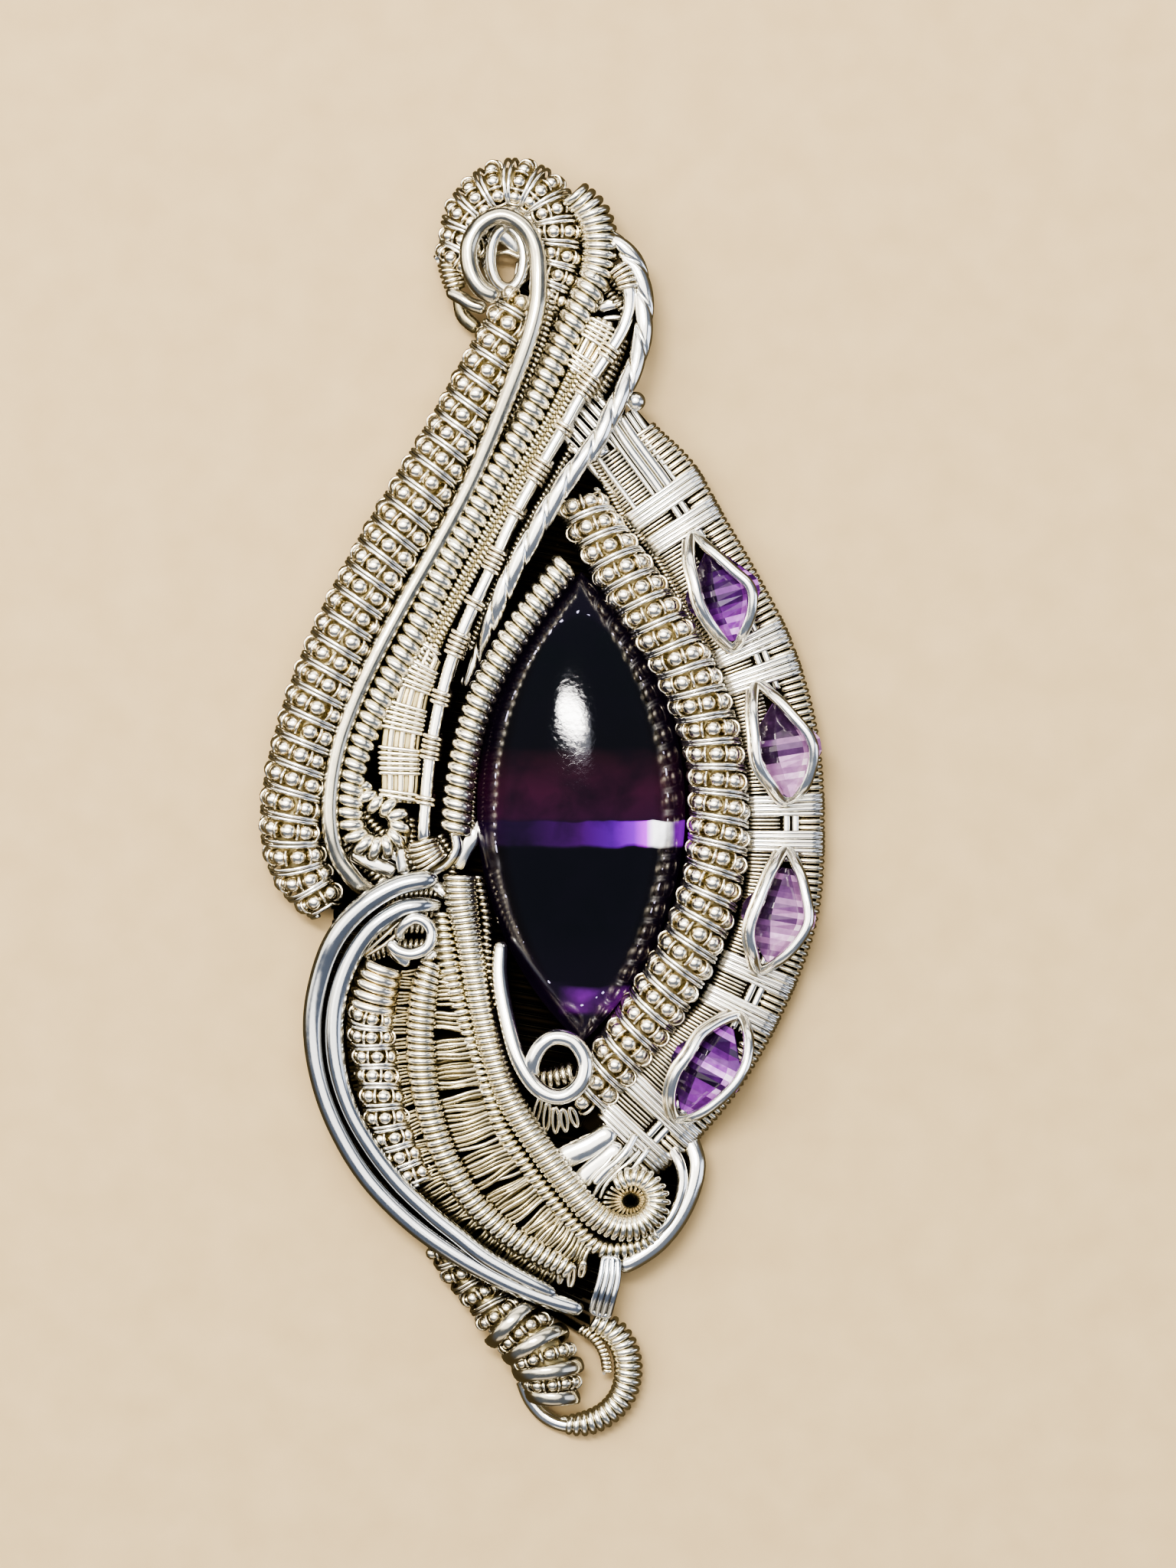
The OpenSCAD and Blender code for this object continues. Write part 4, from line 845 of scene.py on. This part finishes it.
# The ribbon wire: two plain silver wires twisted together, and arched over the top of the neck, so
# that their strands catch the light in turn.
path = curve([
    [4.0, 34.9, 2.9, 0.8], [4.75, 34.5, 3.4, 0.8], [5.39, 33.75, 3.4], [6.04, 32.6, 3.4],
    [6.34, 31.0, 3.4], [6.34, 29.4, 3.5], [6.04, 27.6, 3.6], [5.44, 26.0, 3.9], [4.54, 24.2, 4.3],
    [3.5, 22.2, 4.5], [1.9, 20.1, 4.6], [0.6, 18.1, 4.5], [-0.6, 16.0, 4.3], [-1.8, 13.9, 4.0],
    [-2.7, 11.9, 3.6], [-3.4, 10.2, 2.9, 0.9], [-3.9, 9.1, 2.3, 0.8], [-4.4, 7.9, 2.1, 0.7],
    [-4.9, 6.9, 1.9, 0.6]], 0.1, tip=0.3)
# The two wires are pulled so tight that they are nearly round together, with a groove on each side
a = 2 * math.pi * np.arange(28) / 28
radius = 0.6 + 0.03 * np.cos(2 * a) - 0.15 * np.exp(-np.cos(a) ** 2 / 0.07)
pair = np.stack([radius * np.cos(a), radius * np.sin(a)], 1)
# They turn once round each other in 5 mm
along, side, up = axes(path)
a = 2 * math.pi * lengths(path[:, :3])[:, None] / 5.0
size = path[:, 3:]
twist = skin(path[:, :3], pair, size * (np.cos(a) * side + np.sin(a) * up),
             size * (np.cos(a) * up - np.sin(a) * side))
build("ribbon_wire_twist", {drawn_silver: [twist]}, "silver", "ribbon_wire")

# The woven strip: three fine wires side by side with a thin wire wrapped over all of them in short
# bundles, which also tie it to the wires on either side.
# Half of the strip's width in mm, at size 1
strip_half = 1.0


def beside(path, across, rise=0.0):
    """A path down the pendant, moved to the left by a number of mm at size 1, and up. Its size is 1."""
    along, side, up = axes(path)
    moved = path.copy()
    moved[:, :3] += across * path[:, 3:] * side
    moved[:, 2] += rise
    moved[:, 3] = 1
    return moved


def across_at(path, k, start, end, lift, drop_start=0.2, drop_end=0.2, slant=0.0):
    """The centre line of a wire that crosses a path down the pendant at its point k.

    It reaches from start to end in mm to the right of the path, lift above it, and its ends turn down
    by their drops. slant is how much lower it ends. Gives it with the path's direction.
    """
    along = unit(path[min(len(path) - 1, k + 2), :3] - path[max(0, k - 2), :3])
    right = unit(-np.cross(along, [0, 0, 1.0]))
    share = np.array([0, 0.01, 0.05, 0.16, 0.5, 0.84, 0.95, 0.99, 1])
    bend = np.array([1, 0.6, 0.25, 0.05, 0, 0, 0, 0, 0])
    points = (path[k, :3] + np.outer(start + share * (end - start), right)
              + np.outer((share - 0.5) * slant, along))
    points[:, 2] += lift - bend * drop_start - bend[::-1] * drop_end
    return points, along


def threads(lines, wire, sides=5):
    """Short wires round their centre lines, each given with the direction of the path it crosses."""
    parts = []
    for points, along in lines:
        out = unit(np.cross(unit(np.gradient(points, axis=0)), along))
        parts.append(skin(points, circle(sides, wire / 2), along[None], out))
    return parts


# The section of a flat strip, 2 wide and 2 high, with its edges taken off
flat = np.array([[1, -0.45], [1, 0.45], [0.9, 1], [-0.9, 1],
                 [-1, 0.45], [-1, -0.45], [-0.9, -1], [0.9, -1]])
path = curve([
    [3.9, 29.7, 3.0, 0.7], [3.5, 28.8, 3.0], [2.8, 27.5, 3.0, 0.95], [2.2, 26.5, 3.0, 0.7],
    [1.5, 25.1, 3.0, 0.62], [0.4, 23.0, 3.0, 0.55], [-1.3, 20.0, 3.0, 0.5], [-2.9, 17.0, 3.0, 0.5],
    [-4.5, 14.0, 3.0, 0.5], [-5.8, 11.5, 3.0, 0.6], [-7.0, 9.2, 3.0, 0.78], [-7.9, 7.2, 3.0, 0.9],
    [-8.5, 5.0, 3.0], [-8.8, 3.0, 3.0], [-8.8, 0.9, 3.0, 0.95], [-8.9, -0.3, 3.0, 0.85]], 0.1)
# Its foot spreads over the wires on either side
path[:, 3] = np.where(path[:, 1] < 9, path[:, 3] + 0.2, path[:, 3] * 0.85)
# The strip lies on a flat base in the deep shade silver: painted shade between its wires
base = sweep(path[::2], flat * [strip_half, 0.1])
# How far up the pendant the strip's head begins, its foot ends, and its turns close up
head_y, foot_y, close_y = 26.3, 9.4, 0.4
lengthwise = [sweep(beside(part, shift, 0.05)[::2], circle(8, 0.25))
              for part in (path[path[:, 1] < foot_y + 0.2], path[path[:, 1] > head_y])
              for shift in (-0.62, -0.05, 0.52)]
# It is wrapped in bundles of six turns at its head and foot, and all over at its lower end
turns = []
for k in range(3, len(path) - 3, 3):
    y = path[k, 1]
    if (y > head_y or y < foot_y) and ((k // 3) % 9 < 6 or y < close_y):
        half = strip_half * path[k, 3] + 0.1
        turns.append(across_at(path, k, -half, half, 0.3 + 0.05 * (k // 3 % 2), slant=0.12))
# Between head and foot, two tiny coils lie side by side
narrow = path[(path[:, 1] < 27.2) & (path[:, 1] > 8.0)].copy()
narrow[:, 3] = 1
twins = []
for start, shift in [(0, -0.3), (0.5, 0.26)]:
    twin = beside(narrow, shift, 0.12)
    twin[:, 3] = 0.3
    twins.append(coil(twin, 0.24, 0.31, start, 12, 6))
build("woven_strip_wires", {woven_silver: lengthwise, spring_silver: threads(turns, 0.27, 6) + twins,
                            deep_shade_silver: [base]}, "dark_silver", "woven_strip")

# The woven band: two heavy wires run down its middle, and open round each small stone. Thin wire is
# woven from them to the inner edge, and wrapped in thicker turns round the outer edge. Pairs of
# bindings tie the middle wires together between the stones, and a tiny coil trims the inner edge.
band_at = [
    [4.3, 23.3, 2.1, 0.8], [5.4, 21.7, 2.1, 0.9], [7.2, 19.25, 2.0, 1.1], [9.08, 16.45, 2.0],
    [11.3, 12.6, 2.0], [13.3, 8.6, 2.0], [14.7, 3.6, 2.0], [15.1, -1.7, 2.0, 0.98], [14.7, -7.0, 2.0],
    [12.9, -12.0, 2.0], [10.2, -16.8, 2.0], [6.9, -20.6, 1.9], [4.6, -23.0, 1.8, 0.75]]
# Where each binding is, counted in rows of that route
bindings_at = [2.25, 2.87, 4.79, 5.2, 6.77, 7.2, 8.79, 9.24, 10.75, 11.35]
band_w = 4.8
path = curve(band_at, 0.05)
half_w = path[:, 3] * band_w / 2
route = np.array([row[:2] for row in band_at])
ties_at = []
for row in bindings_at:
    spot = [np.interp(row, np.arange(len(route)), column) for column in route.T]
    ties_at.append(int(np.argmin(np.linalg.norm(path[:, :2] - spot, axis=1))))
head = ties_at[0]
# The band lies on a flat base, painted near-black as the shade between its wires
base = sweep(path[::6], flat * [band_w / 2 * 0.95, 0.3])
# At the band's foot its inner edge spreads, over a base of its own painted the same, to lie against the
# right tube
spread_y = [-23, -20.5, -17, -13.5]
spread = np.interp(path[:, 1], spread_y, [0.2, 1.5, 1.1, 0])
foot = beside(beside(path, 0)[path[:, 1] < spread_y[-1]][::6], 2.2)
foot[:, 3] = np.interp(foot[:, 1], spread_y, [0.3, 1.5, 1.2, 0.3])
foot = sweep(foot, flat * [1, 0.3])

# The band's points are 0.05 mm apart. A rib comes every 8th of them, from near the middle to over the
# outer edge. A thread of weave comes every 5th, from the inner edge to the middle wires, by turns a
# little higher. Each binding is five turns right across the band.
ribs, weave, ties = [], [], []
for k in range(32, len(path) - 4, 8):
    ribs.append(across_at(path, k, half_w[k] - 1.35, half_w[k] + 0.06, 0.5, 0.12, 0.75))
for k in range(30, len(path) - 4, 5):
    end = -0.62 if k < head else -0.3
    lift = 0.4 + 0.05 * (k % 10 > 0)
    weave.append(across_at(path, k, -half_w[k] - spread[k] + 0.1, end, lift, 0.4, 0.1))
for tie in ties_at:
    for shift in (-11, -5.5, 0, 5.5, 11):
        k = int(min(max(tie + shift, 4), len(path) - 5))
        ties.append(across_at(path, k, -half_w[k] - spread[k] - 0.06, half_w[k] + 0.1, 0.76, 0.5, 0.9))

# Middle wires, drawn where they show: from the band's head to its first binding, and within each
# pair of bindings. Each row: mm to the right of the band's middle, wire, first and last point
middle = [(-0.42, 0.32, 0, head), (0.08, 0.66, 0, head), (0.7, 0.66, 0, head), (1.22, 0.36, 0, head),
          (1.62, 0.42, 0, 34), (-1.45, 0.95, 0, 28), (-1.85, 0.4, 20, head)]
for first, last in zip(ties_at[::2], ties_at[1::2]):
    middle += [(0.15, 0.5, first - 26, last + 26), (0.72, 0.5, first - 26, last + 26)]
plain = [sweep(beside(beside(path, 0, 0.42)[max(0, first):last + 1:4], -shift), circle(10, wire / 2))
         for shift, wire, first, last in middle]
trim = beside(beside(path, 0, 0.2), half_w[:, None] + 0.08)
trim[:, 3] = 0.28
trim = coil(trim[:ties_at[3]:2], 0.2, 0.25, 0, 10, 5)
build("woven_band_wires", {drawn_silver: plain + threads(ties, 0.3, 6), fine_silver: [trim],
                           woven_silver: threads(ribs, 0.36, 6) + threads(weave, 0.22),
                           dark_silver: [base, foot]},
      "silver", "woven_band")

# The small stones: square amethysts cut in steps across, each set on its corner, and held down by an
# eye of wire that passes over its side corners.
stone_w, stone_l, stone_h, stone_z = 4.9, 5.9, 1.9, 2.75


def cut_stone(name, codes):
    """Cut amethyst: each facet is painted its own tone of violet, from the dark of the crystal to a
    painted flash.
    """
    material, tree = new_material(name)
    facet = add(tree, "Attribute", attribute_name="facet").outputs["Fac"]
    place = add(tree, "TexCoord").outputs["Object"]
    cloud = add(tree, "TexNoise", {"Vector": place, "Scale": 1 / (0.5 * MM), "Detail": 2.0})
    vary = add(tree, "MapRange", {"Value": cloud.outputs["Fac"], "To Min": -0.12, "To Max": 0.12})
    tone = add(tree, "Math", {0: facet, 1: vary.outputs["Result"]}, operation="ADD")
    tones = add(tree, "ValToRGB", {"Fac": tone.outputs["Value"]})
    for k, code in enumerate(codes):
        stop = tones.color_ramp.elements[k] if k < 2 else tones.color_ramp.elements.new(0.99)
        stop.position = k / (len(codes) - 1)
        stop.color = linear(code)
    # A faint painted glow: the stone gives off its own colours a little
    gem = add(tree, "BsdfPrincipled", {
        "Base Color": tones.outputs["Color"], "Roughness": 0.08, "IOR": 1.55,
        "Emission Color": tones.outputs["Color"], "Emission Strength": 0.18})
    add(tree, "OutputMaterial", {"Surface": gem.outputs["BSDF"]})
    return material


deep_amethyst = cut_stone("deep_cut_amethyst", ["#1e0c28", "#401a52", "#743888", "#b878c8", "#f8e6fc"])
pale_amethyst = cut_stone("pale_cut_amethyst", ["#2e1c34", "#5e4066", "#8e688e", "#c49cc2", "#fbeefa"])

# Each row: middle of the stone, and how far it is turned, in degrees
stones = [[11.25, 12.6, 15], [15.05, 2.95, 9], [14.7, -7.3, -10], [10.25, -16.85, -29]]
rows_up = np.linspace(-1, 1, 17)
columns_across = np.array([-1, -0.2, 0.5, 1])
rows, columns = len(rows_up), len(columns_across)
index = np.arange(rows * columns).reshape(rows, columns)
a = index[:-1, :-1].ravel()
top = np.stack([a, a + 1, a + columns + 1, a + columns], 1)
border = np.concatenate([index[0], index[1:, -1], index[-1, -2::-1], index[-2:0:-1, 0]])
draw = np.random.default_rng(5)
for number, (x, y, angle) in enumerate(stones, 1):
    # The top is a low dome of facets, each a little out of true. Its outline is a square that stands on a
    # corner, and its corners are blunt.
    facets = []
    for b in rows_up:
        half = min(0.94, 1.1 - abs(b) * 0.98)
        for a in columns_across:
            out = abs(a * half) + abs(b)
            height = 1.04 - 0.42 * (max(0, out - 0.45) / 0.55) ** 1.3
            rough = 0 if abs(a) == 1 or abs(b) == 1 else draw.uniform(-0.035, 0.035)
            facets.append([a * half * stone_w / 2, b * stone_l / 2, (height + rough) * stone_h])
    facets = np.array(facets)
    # Below its edge the stone tapers to a small flat. Each pair: size, and share of the height
    edge = facets[border]
    under = [edge] + [np.insert(edge[:, :2] * size, 2, height * stone_h, 1)
                      for size, height in [(1.0, 0.54), (0.62, 0.3), (0.12, 0.0)]]
    walls = quads(len(under), len(edge))[:, ::-1]
    bottom = end_faces(len(under), len(edge))[1:]
    c, s = math.cos(math.radians(angle)), math.sin(math.radians(angle))
    turned = np.array([[c, s, 0], [-s, c, 0], [0, 0, 1]])
    parts = [(points @ turned + [x, y, stone_z], faces)
             for points, faces in [(facets, [top]), (np.concatenate(under), [walls, bottom])]]
    piece = build(f"cut_stone_{number}", {pale_amethyst if number in (2, 3) else deep_amethyst: parts},
                  "small_stones", f"band_stone_{number}")
    # Painted light: the facets are painted brighter towards the lower right, as flashes of cut steps
    # turned to the light, and the walls below their edge dark
    tones = []
    of_row = draw.normal(size=rows - 1) * 0.17
    for face in piece.data.polygons:
        face.use_smooth = False
        if face.index < len(top):
            off_x, off_y = face.center.x / MM + mid_x - x, face.center.y / MM + mid_y - y
            step = of_row[face.index // (columns - 1)]
            light = 0.32 + 0.21 * off_x - 0.1 * off_y + step + draw.normal() * 0.1
        else:
            light = 0.15 + 0.1 * draw.random()
        tones += [min(max(light, 0.0), 1.0)] * face.loop_total
    piece.data.attributes.new("facet", "FLOAT", "CORNER").data.foreach_set("value", tones)

# The eyes of wire. Each list goes once round an eye, from its upper corner down its right side
eyes = [
    [[9.4, 16.3], [10.4, 15.4], [11.8, 14.1], [12.9, 13.0], [13.0, 11.6], [12.5, 10.2],
     [11.9, 9.4], [10.7, 10.5], [9.85, 11.9], [9.5, 13.3], [9.2, 14.8]],
    [[13.4, 7.0], [14.5, 6.2], [15.6, 5.0], [16.6, 3.7], [16.8, 2.4], [16.3, 0.7],
     [15.2, -0.1], [14.2, 0.9], [13.4, 2.2], [13.2, 3.9], [13.1, 5.6]],
    [[15.2, -3.3], [15.9, -4.4], [16.3, -5.8], [16.5, -7.6], [15.8, -9.0], [14.7, -10.1],
     [13.6, -10.7], [13.1, -9.6], [12.9, -8.1], [13.5, -6.3], [14.3, -4.5]],
    [[12.2, -13.6], [12.8, -14.7], [12.7, -16.2], [12.1, -17.5], [11.0, -18.7], [9.6, -19.7],
     [8.4, -19.9], [8.0, -18.6], [8.3, -17.1], [9.1, -15.9], [10.1, -14.5]]]
eye_wire, eye_low, eye_rise = 0.7, 3.1, 1.95
for number, eye in enumerate(eyes, 1):
    # It is low at its upper and lower corners, and high where it passes over the stone's side corners
    lower_corner = len(eye) // 2 + 1
    route = []
    for k, (x, y) in enumerate(eye):
        share = k / lower_corner if k < lower_corner else (len(eye) - k) / (len(eye) - lower_corner)
        route.append([x, y, eye_low + eye_rise * math.sin(math.pi * share) ** 0.7])
    path = curve(route, 0.15, ring=True)
    along, side, up = axes(path, True)
    # A thin second wire runs up the outside of the eye's left half
    second = path.copy()
    second[:, :3] -= 0.40 * side
    second[:, 2] -= 0.15
    second = second[int(len(path) * 0.53):int(len(path) * 0.98)]
    build(f"stone_eye_{number}", {drawn_silver: [sweep(path, circle(12, eye_wire / 2), ring=True)],
                                  fine_silver: [sweep(second, circle(8, 0.14))]},
          "silver", f"stone_wire_{number}")

# The fan: thin wire laced back and forth like a ladder between the fan's wrapped wires, in bundles of
# doubled rungs with dark gaps between them. At its lower end it hangs out in small loops.
path = curve([
    [-5.9, -11.0, 1.8, 0.4], [-5.6, -14.0, 1.8, 0.6], [-5.2, -17.0, 1.8, 0.75], [-4.4, -20.0, 1.8, 0.85],
    [-3.2, -22.6, 1.8, 0.9], [-1.7, -24.9, 1.8, 0.9], [0.1, -26.7, 1.8, 0.8], [2.0, -28.0, 1.8, 0.5]], 0.3)
# The rungs lie over a flat strip, painted near-black as the shade in their gaps
base = sweep(path, flat * [2.0, 0.2])
# Each row: where a rung starts, on the left wire, and ends, on the right one: [x, y, x, y]
ladder = np.array([
    [-6.9, -10.7, -4.4, -10.6], [-6.9, -12.0, -4.2, -12.0], [-7.0, -14.5, -3.9, -14.3],
    [-6.9, -17.2, -3.6, -16.7], [-6.4, -19.8, -3.0, -18.9], [-5.6, -22.0, -2.2, -20.7],
    [-4.5, -24.0, -1.2, -22.5], [-3.1, -25.8, -0.2, -23.8], [-1.8, -27.0, 0.7, -25.0],
    [-0.4, -28.0, 1.5, -26.0], [1.1, -28.9, 2.4, -26.8], [2.4, -29.3, 3.2, -27.3]])
# Gaps between bundles, by their height at the middle of the ladder
gaps_at = [-12.9, -14.6, -18.1, -21.5, -23.7, -26.0]
# The same thin wire also ties the fan's left wire to the crescents
side_ladder = np.array([
    [-11.0, -10.8, -7.2, -10.8], [-12.2, -14.6, -7.4, -14.2], [-11.9, -17.5, -7.3, -16.8],
    [-10.9, -20.2, -6.9, -18.9], [-9.4, -22.4, -6.2, -21.3], [-7.7, -24.4, -5.2, -23.3],
    [-6.0, -26.0, -4.2, -24.9], [-4.2, -27.5, -2.8, -26.4], [-2.4, -28.8, -1.2, -27.5],
    [-0.9, -29.7, 0.2, -28.4], [0.6, -30.5, 1.5, -29.1]])


def laced(ladder, pitch, stray, gaps, half_pair, height):
    """Pairs of rungs between the two sides of a ladder, but for its gaps."""
    run = lengths(ladder[:, :2])
    rungs = []
    for t in np.arange(0.1, run[-1], pitch):
        x1, y1, x2, y2 = (np.interp(t, run, column) for column in ladder.T)
        y1, y2 = y1 + draw.uniform(-stray, stray), y2 + draw.uniform(-stray, stray)
        both = (-half_pair, half_pair)
        # In a gap a single wire leans across
        if gaps and min(abs((y1 + y2) / 2 - gap) for gap in gaps) < 0.22:
            y1, both = y1 + 0.3, (0.0,)
        start, end = np.array([x1, y1, height]), np.array([x2, y2, height - 0.1])
        share = np.linspace(0, 1, 8)[:, None]
        line = start + share * (end - start)
        line[:, 2] += 0.4 * np.sin(math.pi * share[:, 0]) + draw.uniform(-0.08, 0.08)
        across = unit(np.cross(end - start, [0, 0, 1.0]))
        waver = 0.07 * np.sin(2 * math.pi * (share + draw.random()))
        rungs += [(line + (s + waver) * across, across) for s in both]
    return rungs


def wire_loop(x, y, z, length, half_width, lean, rise, wire, step):
    """A long loop of thin wire, which hangs down the pendant to x, y."""
    route = [[x + lean * math.sin(a) + half_width * math.cos(a), y + length / 2 * (1 + math.sin(a)),
              z + rise * math.sin(a)] for a in np.linspace(0, 2 * math.pi, 12, endpoint=False)]
    return sweep(curve(route, step, ring=True), circle(6, wire / 2), ring=True)


rungs = laced(ladder, 0.56, 0.2, gaps_at, 0.135, 2.9)
side_rungs = laced(side_ladder, 0.52, 0.14, [], 0.11, 2.3)
# A second layer lies below the first one, between its pairs, with wider gaps, painted in the deep shade
# silver
low_rungs = [rung for rung in laced(ladder - [0, 0.28, 0, 0.28], 0.56, 0.12, [], 0.13, 2.4)
             if min(abs(rung[0][:, 1].mean() - gap) for gap in gaps_at) > 0.5]
# Each loop: where its lower end is, and its length
hanging = [(-2.5, -27.8, 1.0), (-2.0, -28.3, 1.1), (-1.5, -28.6, 1.2), (-0.95, -28.95, 1.3),
           (-0.3, -29.4, 1.4), (0.15, -29.6, 1.4), (0.6, -29.8, 1.4), (1.2, -30.3, 1.5),
           (1.85, -30.5, 1.4), (2.5, -29.9, 1.0)]
hanging = [wire_loop(x, y, 2.9, length, 0.17, 0.1, 0.4, 0.28, 0.12) for x, y, length in hanging]
# Two rungs in three and the side rungs are in the darker silver that is painted as shade
build("fan_rungs", {woven_silver: threads(rungs[::3], 0.26, 6),
                    shaded_silver: (threads(rungs[1::3] + rungs[2::3], 0.25, 6)
                                   + threads(side_rungs, 0.2, 6)),
                    deep_shade_silver: threads(low_rungs, 0.25),
                    fine_silver: hanging, dark_silver: [base]},
      "dark_silver", "fan_weave")

# The scroll's eye, in the curl of the fan's right wire: turns of thin silver wire run down into it from
# its rim, side by side round a small hole.
scroll_x, scroll_y, rim_r, rim_z, hole_z = 5.55, -25.15, 1.55, 3.6, 2.2
share = np.linspace(0, 1, 6)[:, None]
spokes = []
turn_count = 24
for a in np.arange(turn_count) * 2 * math.pi / turn_count:
    out = np.array([1.1 * math.cos(a), 0.85 * math.sin(a), 0])
    line = np.array([scroll_x, scroll_y, rim_z]) + (rim_r - 1.22 * share) * out
    line[:, 2] -= (rim_z - hole_z) * share[:, 0] ** 1.3
    spokes.append((line, np.array([-math.sin(a), math.cos(a), 0])))
build("scroll_eye", {woven_silver: threads(spokes, 0.2, 6)}, "silver")

# Ends of thin wire, which hang in loose loops below the right tube's lower end. Each loop: where its
# lower end is, its length, how far it leans
loose = [(-0.3, -20.4, 1.7, 0.2), (0.3, -20.9, 1.9, 0.1), (0.85, -21.0, 1.7, 0.0), (1.4, -20.9, 1.5, -0.1),
         (2.0, -20.6, 1.3, -0.2)]
loose = [wire_loop(x, y, 2.2, length, 0.2, lean, 0.3, 0.26, 0.15) for x, y, length, lean in loose]
build("right_tube_ends", {fine_silver: loose}, "silver")

# The strap: four short silver wires side by side that tie the bottom together. They are bent down over
# the wires below them at both ends.
path = curve([[4.3, -28.6, 3.1, 0.8], [4.2, -29.8, 3.4, 0.95], [3.9, -31.0, 3.4], [3.6, -32.2, 2.7]], 0.15,
             tip=0.2)
wires = [sweep(beside(path, shift), circle(8, 0.2)) for shift in (-0.57, -0.19, 0.19, 0.57)]
build("strap_wires", {grey_silver: wires}, "silver", "strap")

# The bail's eye, which a chain goes through: two turns of plain silver wire line it, and fine turns
# bind the end of the tube round it.
eye_x, eye_y, eye_top, eye_half_w, eye_half_l, eye_pitch = -2.15, 33.6, 2.9, 1.05, 1.9, 0.9
lining = []
for turned in np.linspace(0, 2, 61):
    a = 2 * math.pi * turned
    lining.append([eye_x - eye_half_w * math.sin(a), eye_y + eye_half_l * math.cos(a),
                   eye_top - eye_pitch * turned])
path = curve(lining, 0.15, tip=0.3)
build("bail_eye_turns", {drawn_silver: [sweep(path, circle(12, 0.38))]}, "dark_silver", "bail_lining")

# Inside the eye: the flattened end of the bail's core wire, curled over like a leaf, and thin wires
# that carry on down to the left tube
leaf = curve([[-3.7, 34.4, 2.3, 0.5], [-3.2, 35.2, 2.2], [-2.4, 35.2, 2.1, 1.1], [-1.8, 34.6, 2.0, 0.9],
              [-1.5, 33.8, 1.9, 0.5]], 0.15, tip=0.3)
stem = curve([[-3.5, 33.9, 1.8], [-3.3, 32.8, 1.9], [-2.8, 31.8, 1.9], [-2.2, 31.2, 1.8]], 0.15, tip=0.3)
thin = [[[-2.9, 33.9, 1.9], [-2.2, 34.0, 2.2], [-1.4, 33.7, 2.2]],
        [[-1.5, 33.4, 1.8], [-1.6, 32.6, 2.0], [-1.4, 31.8, 1.9]],
        [[-1.9, 32.0, 1.9], [-1.2, 32.6, 2.0], [-0.9, 33.2, 1.9]]]
build("bail_eye_leaf", {drawn_silver: [sweep(leaf, circle(14, 0.62, 0.3)), sweep(stem, circle(12, 0.36))],
                        fine_silver: [sweep(curve(rows, 0.12), circle(6, 0.15)) for rows in thin]},
      "silver")

# Fine turns bind the left end of the bail's tube
path = curve([[-5.7, 33.5, 1.9, 1.1], [-5.6, 32.6, 1.9], [-5.3, 31.7, 1.9, 0.9]], 0.1)
path[:, 3] *= 0.8
build("bail_binding_turns", {fine_silver: [coil(path, 0.26, 0.3, 0.1, 16, 6)],
                             deep_shade_silver: [sweep(path, circle(8, 0.8))]}, "silver", "bail_binding")

size = {"cad": [list(map(float, corner)) for corner in cad_box],
        "visual": [list(map(float, corner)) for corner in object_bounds()]}
